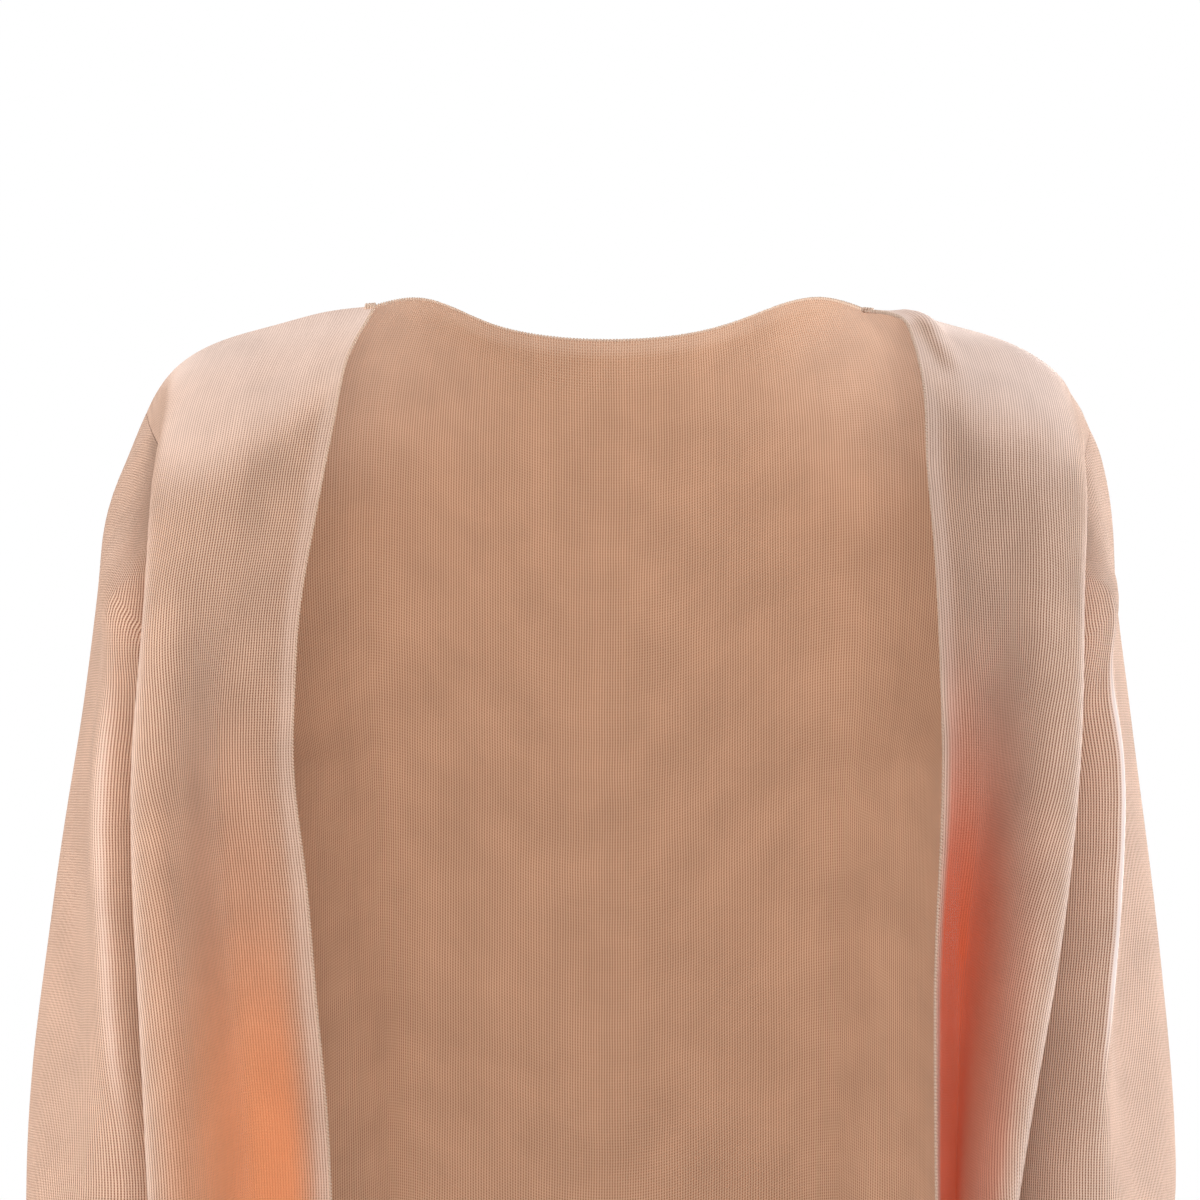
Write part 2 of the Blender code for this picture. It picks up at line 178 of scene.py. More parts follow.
class Ring(NamedTuple):
    """A ring of both sleeves.

    Attributes:
        outer_up: its height on the outer side.
        inner_up: its height on the inner side.
        points: its points, as out and y: the underarm, the inner front and the front, and,
            after the points that each sleeve has for itself, the outer back, the back and
            the inner back.
    """

    outer_up: float
    inner_up: float
    points: Points

    def line(self, ridge: Sequence[float]) -> Points:
        """Draw the ring.

        Args:
            ridge: a sleeve's own points, as out and y: front ridge, side and outline.

        Returns:
            The ring's points.
        """
        own = np.array(ridge, float).reshape(-1, 2)
        flat = np.concatenate([self.points[:3], own, self.points[3:]])
        points = [
            (out, y, self.outer_up + (self.inner_up - self.outer_up) * share)
            for (out, y), share in zip(flat, RING_HEIGHT_SHARE)
        ]
        return around(points, RING_STEPS)


class Glow(NamedTuple):
    """How a front's fold is painted with a warm glow, for the light that it throws back.

    Attributes:
        start_up: the height where it starts.
        full_up: the height from which it is full.
        strength: the painted glow's share in the cloth's colour.
        halo: its share on the rest of the fold's slope.
        rise: how far from the free edge it is full.
        full_out: how far out it stays full.
        end_out: how far out it ends.
        colour: the colour of the painted glow there.
    """

    start_up: float
    full_up: float
    strength: float
    halo: float
    rise: float
    full_out: float
    end_out: float
    colour: tuple[float, float, float]


class Crease(NamedTuple):
    """A soft line in a piece, in the piece's own measures: across and down.

    Attributes:
        start_across: where it starts.
        start_down: where it starts.
        end_across: where it ends.
        end_down: where it ends.
        width: how wide it is.
        rise: how far it stands out.
        shine: how much painted highlight it carries, where its fibres catch more light.
    """

    start_across: float
    start_down: float
    end_across: float
    end_down: float
    width: float
    rise: float
    shine: float = 0.0


def read(kind: type, *rows: Sequence[float]) -> list:
    """Read rows of numbers, each as one of a kind."""
    return [kind(*row) for row in rows]


def read_lines(kind: type, *rows: Sequence[float]) -> list:
    """Read rows of numbers: a kind's first two values and its points one after another."""
    return [kind(*row[:2], np.array(row[2:], float).reshape(-1, 2)) for row in rows]


SHOULDERS = {
    Side.RIGHT: read(
        SeamPoint,
        (104.0, -3.0), (125.0, -5.5), (146.0, -11.0), (178.0, -21.5), (192.0, -31.5),
        (198.5, -40.0), (201.5, -45.5), (203.5, -50.0),
    ),
    Side.LEFT: read(
        SeamPoint,
        (112.0, -4.5), (130.0, -6.5), (150.0, -11.5), (182.0, -22.5), (196.5, -34.0),
        (204.0, -44.0), (207.5, -50.0), (209.5, -56.0),
    ),
}

FRONT_SECTIONS = {
    Side.RIGHT: read_lines(
        Section,
        (-12, 0.98, 108, -14, 146, -16, 180, -19,
         192.5, -20, 196, -19, 198, -18, 200, -16),
        (-28, 0.95, 115, -30, 148, -34, 181, -38,
         193.5, -38, 194.5, -36, 194, -34, 192, -31),
        (-48, 0.88, 118.6, -45, 152, -51, 184, -56,
         195.2, -56, 194.5, -50, 190.5, -46, 187, -40),
        (-72, 0.77, 123, -54, 156, -66, 186, -72,
         196.3, -70, 193.5, -61, 187, -56, 184, -46),
        (-100, 0.62, 128, -60, 160, -75, 187.5, -82,
         197.2, -79, 192.5, -68, 182, -61, 179, -48),
        (-136, 0.42, 134, -60, 164, -75, 189.5, -88,
         199, -84, 193.5, -72, 174, -58, 170.5, -43.5),
        (-170, 0.21, 136.3, -58, 167.5, -70, 191.5, -91,
         200.8, -87, 195.5, -75, 164, -42, 160.5, -27),
        (-206, 0.0, 136.7, -56, 169, -66, 193, -92,
         202.2, -88, 197.5, -76, 154, -15, 150, 0),
        (-250, 0.0, 131.7, -55, 165, -58, 192.5, -93,
         201.8, -89, 197, -77, 151, -14, 147, 2),
        (-300, 0.0, 127.4, -54, 159, -53, 190, -93,
         199.5, -89, 194.5, -77, 149, -13, 144.5, 3),
        (-350, 0.0, 122.7, -54, 153, -50, 187.5, -93,
         197.1, -89, 192, -77, 148, -13, 143, 4),
        (-430, 0.0, 120, -54, 149, -48, 184, -93,
         193.5, -89, 188.5, -77, 147, -12, 142, 5),
    ),
    Side.LEFT: read_lines(
        Section,
        (-8.5, 0.98, 127.5, -14, 152, -16, 184, -19,
         198, -20, 203, -17, 206.5, -15, 209.5, -12),
        (-15, 0.97, 131.5, -20, 155, -24, 186, -28,
         200, -28, 204, -25, 206, -23, 207.5, -19.5),
        (-25, 0.95, 134, -29, 158, -34, 188, -39,
         202, -37, 205, -34, 205.5, -32, 205, -28),
        (-46, 0.88, 136.6, -44, 160, -52, 192, -58,
         203.6, -54, 203, -48, 200, -45, 197, -39),
        (-72, 0.77, 137, -55, 160, -66, 192.5, -73,
         203.5, -69, 200, -60, 193.5, -56, 190, -46),
        (-100, 0.62, 139, -60, 161, -73, 191.5, -83,
         202.2, -79, 197, -68, 186, -61, 183, -48),
        (-136, 0.42, 141.5, -58, 161.5, -71, 190.5, -88,
         201.1, -84, 195, -72, 175.5, -58, 172, -43.5),
        (-170, 0.21, 143, -54, 158.5, -60, 189, -90,
         200, -86, 194, -74, 164.5, -42, 161, -27),
        (-206, 0.0, 143.8, -51, 155.5, -52, 187, -91,
         198.2, -87, 193, -75, 154, -15, 150, 0),
        (-250, 0.0, 142.6, -49, 152, -43, 183, -90,
         194.2, -86, 190, -74, 152, -14, 148, 2),
        (-300, 0.0, 140.6, -48, 150, -36, 177, -87,
         187.3, -83, 184, -71, 152, -13, 147, 3),
        (-350, 0.0, 140.4, -48, 149.5, -32, 169, -82,
         178.9, -79, 177, -67, 152, -12, 147, 4),
        (-430, 0.0, 142, -48, 148.5, -32, 158, -74,
         167, -73, 166.5, -61, 152, -12, 147, 5),
    ),
}

BACK_ARMHOLES = {
    Side.RIGHT: read(
        HolePoint,
        (203.5, 0, -50), (201, 20, -64), (194, 40, -90), (185, 53, -120), (174, 54, -150),
        (161, 38, -181), (150, 0, -206),
    ),
    Side.LEFT: read(
        HolePoint,
        (209.5, 0, -56), (207, 20, -68), (199, 40, -92), (188, 53, -121), (176, 54, -150),
        (162, 38, -181), (150, 0, -206),
    ),
}

BACK_FOLDS = read(
    BackFold,
    (-0.66, 0.05, 0.10, 6.5, -120),
    (-0.44, 0.03, 0.10, -4.0, -150),
    (-0.12, 0.04, 0.12, 2.5, -210),
    (0.20, -0.03, 0.12, -2.5, -230),
    (0.46, -0.02, 0.10, -4.0, -160),
    (0.68, -0.06, 0.10, 7.0, -130),
)

RINGS = read_lines(
    Ring,
    (-80, -214, 157, 4, 167, -26, 186, -48, 209, 30, 188, 56, 167, 34),
    (-120, -226, 158, 6, 170, -30, 193, -53, 216, 36, 191, 63, 168, 42),
    (-165, -244, 158, 7, 173, -32, 197, -54, 222, 42, 195, 67, 169, 46),
    (-215, -268, 157, 8, 174, -31, 198, -54, 229, 46, 199, 68, 170, 47),
    (-270, -304, 156, 9, 173, -30, 196, -53, 235, 48, 202, 69, 170, 48),
    (-325, -345, 154, 10, 172, -28, 194, -52, 242, 49, 205, 69, 169, 48),
    (-378, -390, 153, 11, 170, -25, 190, -50, 246, 48, 206, 67, 168, 46),
    (-435, -442, 154, 8, 169, -22, 190, -49, 245, 40, 208, 60, 170, 40),
    (-490, -492, 157, 4, 171, -23, 192, -50, 239, 30, 207, 48, 173, 32),
    (-540, -540, 162, -2, 174, -27, 193, -51, 232, 22, 206, 38, 176, 24),
)
RING_HEIGHT_SHARE = (1.0, 0.8, 0.55, 0.33, 0.16, 0.0, 0.14, 0.5, 0.82)

# Each ring's points that differ between the sleeves, as out and y: front ridge, side, outline.
RIDGES = {
    Side.RIGHT: [
        (209, -44, 215.5, -25, 215.4, 2), (216, -49, 220, -29, 223.6, 4),
        (218.5, -54, 223, -33, 230, 7), (220.5, -56, 225, -34, 238, 9),
        (218.5, -57, 227, -34, 245.8, 11), (215, -56, 230, -34, 253.5, 12),
        (209, -53, 238, -30, 257.4, 11), (212, -50, 243, -28, 256, 6),
        (214, -52, 239, -30, 249, 0), (213, -53, 234, -34, 241, -6),
    ],
    Side.LEFT: [
        (210, -44, 215.5, -25, 217.2, 2), (215, -50, 217.5, -31, 221.3, 4),
        (218, -56, 217, -34, 227, 7), (219, -58, 217, -35, 233, 9),
        (216.5, -58, 217, -34, 239.3, 11), (212, -57, 218, -32, 244.7, 12),
        (209, -53, 226, -27, 248.2, 11), (211, -46, 235, -24, 247, 6),
        (211, -49, 232, -28, 241, 0), (208, -50, 227, -32, 234, -6),
    ],
}

# The way that a sleeve leaves the armhole seam at each ring point: outwards, y and up.
LEADS = [
    (0.95, 0.05, -0.30),
    (0.90, 0.30, -0.30),
    (0.90, 0.40, -0.20),
    (0.85, 0.45, -0.30),
    (0.75, 0.30, -0.60),
    (0.40, 0.00, -0.92),
    (0.70, -0.25, -0.65),
    (0.85, -0.20, -0.50),
    (0.93, -0.10, -0.35),
]

# Light is thrown back and forth in the trough behind each free edge and warms up there. That
# glow is painted into the cloth's colour: the painted glow of each front, how far from its
# crest the slope reaches, and the halo's heights.
GLOWS = {
    Side.RIGHT: Glow(-180.0, -375.0, 0.92, 0.4, 18.0, 170.0, 212.0, (0.86, 0.32, 0.142)),
    Side.LEFT: Glow(-115.0, -290.0, 1.0, 0.36, 4.0, 160.0, 194.0, (0.62, 0.12, 0.052)),
}
SLOPE_SHARE = 0.6
HALO_START_UP = -140.0
HALO_FULL_UP = -300.0
# The painted highlight along the crest of the fronts' outer folds, where they catch light:
# how much, how wide and from where.
CREST_SHINE = 0.45
CREST_WIDTH = 3.5
CREST_START_UP = -60.0
CREST_FULL_UP = -140.0
# How steeply cloth must rise towards the light to be painted as lit: paler, with less painted
# shade between its stitches.
LIT_FROM = 0.3
LIT_FULL = 0.85

# Faint creases of the hanging cloth, which the solids leave out.
FRONT_CREASES = {
    Side.RIGHT: read(
        Crease,
        (30, 22, 16, 95, 9, -0.7),
        (58, 55, 50, 150, 8, -0.7),
        (46, 30, 30, 150, 7, 0.8),
        (22, 180, 24, 330, 8, 0.7),
        (66, 210, 74, 400, 6, -0.8),
    ),
    Side.LEFT: read(
        Crease,
        (62, 60, 30, 160, 9, -1.0),
        (40, 30, 22, 110, 8, 0.9),
        (70, 110, 48, 230, 8, -1.2),
        (12, 60, 10, 190, 6, -0.8),
        (9, 4, 12, 42, 5, 2.6),
    ),
}
BACK_CREASES = read(
    Crease,
    (-140, 90, -110, 240, 14, 1.6),
    (140, 90, 108, 230, 14, 1.5),
    (-60, 60, -30, 200, 22, 1.0),
    (70, 80, 40, 260, 20, -1.0),
    (-20, 250, -35, 420, 18, 1.2),
)
ELBOW_CREASES = read(
    Crease,
    (90, 320, 140, 300, 9, -1.8),
    (80, 350, 150, 345, 8, -1.4),
    (100, 380, 150, 395, 9, -1.2),
    (-70, 350, -120, 370, 9, -1.2),
    (-10, 70, -30, 180, 9, 0.8),
)
SLEEVE_CREASES = {
    Side.RIGHT: [*ELBOW_CREASES, Crease(-2, 110, -2, 330, 6, 0.9, 0.6)],
    Side.LEFT: [*ELBOW_CREASES, Crease(0, 80, 0, 290, 2, 1.1, 1.6)],
}


def unit(vectors: Points) -> Points:
    """Vectors of length one."""
    return vectors / np.linalg.norm(vectors, axis=-1, keepdims=True)


def spline(knots: Points, values: Points, places: Points) -> Points:
    """Read a natural cubic curve.

    Args:
        knots: the places of the known values, growing.
        values: a row of values for each knot.
        places: where the curve is read.

    Returns:
        A row of values for each place.
    """
    knots = np.asarray(knots, float)
    values = np.asarray(values, float)
    places = np.asarray(places, float)
    size = len(knots)
    step = np.diff(knots)
    matrix = np.eye(size)
    right = np.zeros_like(values)
    for i in range(1, size - 1):
        matrix[i, i - 1 : i + 2] = step[i - 1], 2 * (step[i - 1] + step[i]), step[i]
        right[i] = 6 * (values[i + 1] - values[i]) / step[i]
        right[i] -= 6 * (values[i] - values[i - 1]) / step[i - 1]
    bend = np.linalg.solve(matrix, right)
    span = np.clip(np.searchsorted(knots, places, side="right") - 1, 0, size - 2)
    width = step[span][:, None]
    low = (knots[span + 1] - places)[:, None] / width
    high = 1 - low
    curve = (low**3 - low) * bend[span] + (high**3 - high) * bend[span + 1]
    return low * values[span] + high * values[span + 1] + curve * width**2 / 6


def lengths(points: Points) -> Points:
    """Distance along a line of points, from its start."""
    steps = np.linalg.norm(np.diff(points, axis=0), axis=1)
    return np.concatenate([[0.0], np.cumsum(steps)])


def through(points: Sequence, counts: Sequence[int]) -> Points:
    """Draw a smooth line through points.

    Args:
        points: the points that the line passes.
        counts: how many steps lie between each two of them.

    Returns:
        The line's points.
    """
    points = np.asarray(points, float)
    knots = lengths(points)
    places = [knots[0]]
    for start, end, count in zip(knots, knots[1:], counts):
        places += [start + (end - start) * (i + 1) / count for i in range(count)]
    return spline(knots, points, places)


def around(points: Sequence, counts: Sequence[int]) -> Points:
    """Draw a smooth closed line through points.

    Args:
        points: the points that the line passes, the first one not repeated.
        counts: how many steps follow each of them.

    Returns:
        The line's points, the first one not repeated.
    """
    size = len(points)
    wrapped = [points[i % size] for i in range(-OVERLAP, size + OVERLAP + 1)]
    steps = [counts[i % size] for i in range(-OVERLAP, size + OVERLAP)]
    line = through(wrapped, steps)
    first = sum(steps[:OVERLAP])
    return line[first : first + sum(counts)]


def evenly(points: Sequence, count: int) -> Points:
    """Draw a smooth line through points.

    Args:
        points: the points that the line passes.
        count: how many equal steps the line is cut into.

    Returns:
        The line's points.
    """
    points = np.asarray(points, float)
    knots = lengths(points)
    return spline(knots, points, np.linspace(0, knots[-1], count + 1))


def smooth_step(low: float, high: float, values: Points) -> Points:
    """Values eased from 0 at the low limit to 1 at the high one."""
    share = np.clip((values - low) / (high - low), 0, 1)
    return share * share * (3 - 2 * share)


def normals(grid: Points, closed: bool = False) -> Points:
    """Find a grid's normals.

    Args:
        grid: rows of points.
        closed: whether each row is a ring.

    Returns:
        A unit normal for each point, as the way down crossed with the way along a row.
    """
    down = np.gradient(grid, axis=0)
    if closed:
        over = np.roll(grid, -1, axis=1) - np.roll(grid, 1, axis=1)
    else:
        over = np.gradient(grid, axis=1)
    return unit(np.cross(down, over))


def fill(lines: Points, knots: Points, places: Points, side: Side) -> Points:
    """Read rows of points between lines of points.

    Args:
        lines: the lines, all with the same number of points.
        knots: how far down each line lies.
        places: how far down each row lies.
        side: the wearer's side, which gives X its sign.

    Returns:
        The rows of points.
    """
    grid = np.stack([spline(knots, column, places) for column in lines.swapaxes(0, 1)], axis=1)
    grid[:, :, 0] *= side.value
    return grid


@dataclass
class Front:
    """A front: its shoulder seam and sections.

    Attributes:
        side: the wearer's side.
        shoulder: the shoulder seam, from the neck to the armhole.
        rows: the sections below it.
    """

    side: Side
    shoulder: list[SeamPoint]
    rows: list[Section]

    def lines(self) -> Points:
        """Draw the shoulder seam and the sections.

        Returns:
            A line of points for each of them.
        """
        falls = [point.up - self.shoulder[0].up for point in self.shoulder]
        lines = [through([(p.out, 0.0, p.up) for p in self.shoulder], FRONT_STEPS)]
        for row in self.rows:
            edge, trough = row.points[:2]
            inner = edge + INNER_SHARE * (trough - edge)
            flat = [edge, inner, *row.points[1:]]
            points = [(out, y, row.up + row.slope * fall) for (out, y), fall in zip(flat, falls)]
            lines.append(through(points, FRONT_STEPS))
        return np.array(lines)

    def grid(self) -> Points:
        """Fill the front between its lines.

        Returns:
            Rows of points, from the shoulder seam to the hem.
        """
        lines = self.lines()
        down = lengths(lines[:, -1])
        underarm = down[[row.up for row in self.rows].index(UNDERARM_UP) + 1]
        yoke = np.linspace(0, underarm, YOKE_ROWS + 1)
        body = np.linspace(underarm, down[-1], BODY_ROWS + 1)[1:]
        return fill(lines, down, np.concatenate([yoke, body]), self.side)


@dataclass
class Back:
    """The back, between the fronts' shoulder and side seams.

    Attributes:
        right: the right front's points.
        left: the left front's points.
    """

    right: Points
    left: Points

    def neck(self) -> Points:
        """Draw the back neck.

        Returns:
            The curve's points, between the neck ends of the shoulder seams.
        """
        ends = (self.right[0][0], self.left[0][0])
        rises = []
        for end in ends:
            inward = -NECK_RISE_IN if end[0] > 0 else NECK_RISE_IN
            rises.append((end[0] + inward, NECK_RISE_Y, NECK_RISE_UP))
        points = [
            tuple(ends[0]),
            rises[0],
            (-NAPE_SIDE_OUT, NAPE_SIDE_Y, NAPE_SIDE_UP),
            (0.0, NAPE_Y, NAPE_UP),
            (NAPE_SIDE_OUT, NAPE_SIDE_Y, NAPE_SIDE_UP),
            rises[1],
            tuple(ends[1]),
        ]
        return evenly(points, NECK_STEPS)

    def top(self) -> Points:
        """The back's upper edge: shoulder seam, back neck and shoulder seam."""
        return np.concatenate([self.right[0][::-1], self.neck()[1:-1], self.left[0]])

    def places_across(self) -> Points:
        """Find how far across the back each column lies.

        Returns:
            A place for each column, from -1 at the right side seam to 1 at the left one.
        """
        top = self.top()
        along = lengths(top)
        middle = np.interp(0.0, top[:, 0], along)
        return np.where(
            along <= middle, along / middle - 1, (along - middle) / (along[-1] - middle)
        )

    def section(self, row: int, depth: float) -> Points:
        """Draw a level section, squarer than an ellipse, between the side seams.

        Args:
            row: the fronts' row whose side seam points it meets.
            depth: how far back the section reaches.

        Returns:
            A point for each column.
        """
        across = self.places_across()
        power = 2.0 / BACK_SQUARENESS
        turns = np.linspace(0, math.pi / 2, CURVE_SAMPLES)
        line = []
        for seam, sign in ((self.right[row, -1], -1), (self.left[row, -1], 1)):
            half = np.stack(
                [
                    abs(seam[0]) * sign * np.cos(turns) ** power,
                    seam[1] + (depth - seam[1]) * np.sin(turns) ** power,
                    np.full_like(turns, seam[2]),
                ],
                axis=1,
            )
            along = lengths(half)
            places = across[across <= 0] if sign < 0 else across[across > 0]
            share = (1 - np.abs(places)) * along[-1]
            line.append(np.stack([np.interp(share, along, half[:, i]) for i in range(3)], axis=1))
        return np.concatenate(line)

    def fold_depths(self, ups: Points) -> Points:
        """Find how far the hanging folds press in.

        Args:
            ups: the height of each row.

        Returns:
            A depth for each row and column.
        """
        across = self.places_across()
        amount = np.zeros((len(ups), len(across)))
        for fold in BACK_FOLDS:
            grown = np.clip((fold.start - ups) / (fold.start - HEM_UP), 0, 1)
            centre = fold.across + fold.lean * grown
            near = np.exp(-(((across[None, :] - centre[:, None]) / fold.width) ** 2))
            amount += fold.depth * grown[:, None] * near
        return amount * np.clip((1 - np.abs(across)) / FOLD_MARGIN, 0, 1)[None, :]

    def grid(self) -> Points:
        """Fill the back between its seams, whose points it shares with the fronts.

        Returns:
            Rows of points, from the upper edge to the hem.
        """
        across = self.places_across()
        holes = {}
        for side, table in BACK_ARMHOLES.items():
            hole = evenly(table, YOKE_ROWS)
            hole[:, 0] *= side.value
            holes[side] = hole
        near_right = np.clip(-across, 0, 1)[:, None] ** ARMHOLE_POWER
        near_left = np.clip(across, 0, 1)[:, None] ** ARMHOLE_POWER
        underarm = self.section(YOKE_ROWS, BACK_DEPTH_UNDERARM)
        rise = self.top() - underarm
        rows = []
        for i in range(YOKE_ROWS + 1):
            left_over = 1 - i / YOKE_ROWS
            row = underarm + rise * left_over ** np.array(YOKE_POWERS)
            for _ in range(YOKE_SMOOTHING * DETAIL):
                rise[1:-1] = (rise[2:] + 2 * rise[1:-1] + rise[:-2]) / 4
            pull_right = (holes[Side.RIGHT][i] - row[0]) * near_right
            pull_left = (holes[Side.LEFT][i] - row[-1]) * near_left
            rows.append(row + pull_right + pull_left)
        for i in range(1, BODY_ROWS + 1):
            depth = BACK_DEPTH_UNDERARM + (BACK_DEPTH_HEM - BACK_DEPTH_UNDERARM) * i / BODY_ROWS
            row = self.section(YOKE_ROWS + i, depth)
            row[0] = self.right[YOKE_ROWS + i, -1]
            row[-1] = self.left[YOKE_ROWS + i, -1]
            rows.append(row)
        grid = np.array(rows)
        depths = self.fold_depths(grid[:, len(across) // 2, 2])
        return grid + normals(grid) * depths[:, :, None]


@dataclass
class Sleeve:
    """A sleeve: rings of points from the armhole seam to the cuff.

    Attributes:
        side: the wearer's side.
        front: the points of the front on that side.
        back_hole: the back half of the armhole, from the shoulder to the underarm.
        ridges: each ring's points that this sleeve has for itself.
    """

    side: Side
    front: Points
    back_hole: Points
    ridges: Sequence[Sequence[float]]

    def grid(self) -> Points:
        """Fill the sleeve between its rings.

        Returns:
            Rings of points, from the armhole seam to the cuff.
        """
        hole = np.concatenate([self.front[: YOKE_ROWS + 1, -1][::-1], self.back_hole[1:-1]])
        hole[:, 0] *= self.side.value
        rings = [hole, hole + LIP * unit(around(LEADS, RING_STEPS))]
        rings += [ring.line(ridge) for ring, ridge in zip(RINGS, self.ridges)]
        rings = np.array(rings)
        steps = np.linalg.norm(np.diff(rings, axis=0), axis=2).mean(axis=1)
        knots = np.concatenate([[0.0], np.cumsum(steps)])
        spread = np.linspace(0, 1, SLEEVE_ROWS) ** SLEEVE_SPREAD
        places = np.concatenate([[0.0], knots[1] + (knots[-1] - knots[1]) * spread])
        return fill(rings, knots, places, self.side)


@dataclass
class Measures:
    """A grid's own measures, in millimetres, which the knit and its creases follow.

    Attributes:
        across: each point's place along the courses; a ring has one more column.
        down: each point's place along the wales; a ring has one more column.
    """

    across: Points
    down: Points

    @staticmethod
    def ring_closed(grid: Points) -> Points:
        """A ring's grid with its first column repeated at the end."""
        return np.concatenate([grid, grid[:, :1]], axis=1)

    @classmethod
    def of_sheet(cls, grid: Points, zero_column: int) -> "Measures":
        """Measure a sheet.

        Args:
            grid: rows of points.
            zero_column: the column that wales are counted from.

        Returns:
            Its measures, by the distances along rows and columns.
        """
        steps = np.linalg.norm(np.diff(grid, axis=1), axis=2)
        across = np.concatenate([np.zeros((len(grid), 1)), np.cumsum(steps, axis=1)], axis=1)
        across -= across[:, zero_column : zero_column + 1]
        steps = np.linalg.norm(np.diff(grid, axis=0), axis=2)
        down = np.concatenate([np.zeros((1, grid.shape[1])), np.cumsum(steps, axis=0)])
        return cls(across, down)

    @classmethod
    def of_sleeve(cls, grid: Points) -> "Measures":
        """Measure a sleeve, whose wales keep to its ridge and its outline.

        Args:
            grid: rings of points.

        Returns:
            Its measures. Between ridge and outline the wales spread as the cloth widens.
            Heights are counted from the cuff, so the courses lie level, and above the
            cap's row the wales rise straight to the armhole.
        """
        wide = cls.ring_closed(grid)
        plan = wide * (1, 1, 0)
        across = cls.of_sheet(plan, RING_CREST).across
        between = across[:, RING_OUTLINE : RING_OUTLINE + 1]
        usual = between.mean()
        share = across[:, RING_CREST : RING_OUTLINE + 1] / between
        across[:, RING_OUTLINE + 1 :] += usual - between
        across[:, RING_CREST : RING_OUTLINE + 1] = share * usual
        down = cls.of_sheet(wide, RING_CREST).down
        down += down[-1].max() - down[-1]
        start, step = wide[CAP_ROW][:-1], np.diff(wide[CAP_ROW], axis=0)
        level = (1, 1, 0)
        for row in range(CAP_ROW):
            from_start = wide[row][:, None, :] - start[None, :, :]
            share = (from_start * level * step).sum(axis=2) / (step * level * step).sum(axis=1)
            share = np.clip(share, 0, 1)
            away = from_start - share[:, :, None] * step[None, :, :]
            below = np.linalg.norm(away * level, axis=2).argmin(axis=1)
            order = np.arange(len(below))
            share, climb = share[order, below], np.linalg.norm(away[order, below], axis=1)
            for values, rise in ((across, 0.0), (down, climb)):
                edge = values[CAP_ROW]
                values[row] = edge[below] * (1 - share) + edge[below + 1] * share - rise
            across[row, 0], across[row, -1] = across[CAP_ROW, 0], across[CAP_ROW, -1]
        for _ in range(CAP_SMOOTHING):
            across[:CAP_ROW, 1:-1] = (
                across[:CAP_ROW, 2:] + 2 * across[:CAP_ROW, 1:-1] + across[:CAP_ROW, :-2]
            ) / 4
        return cls(across, down)


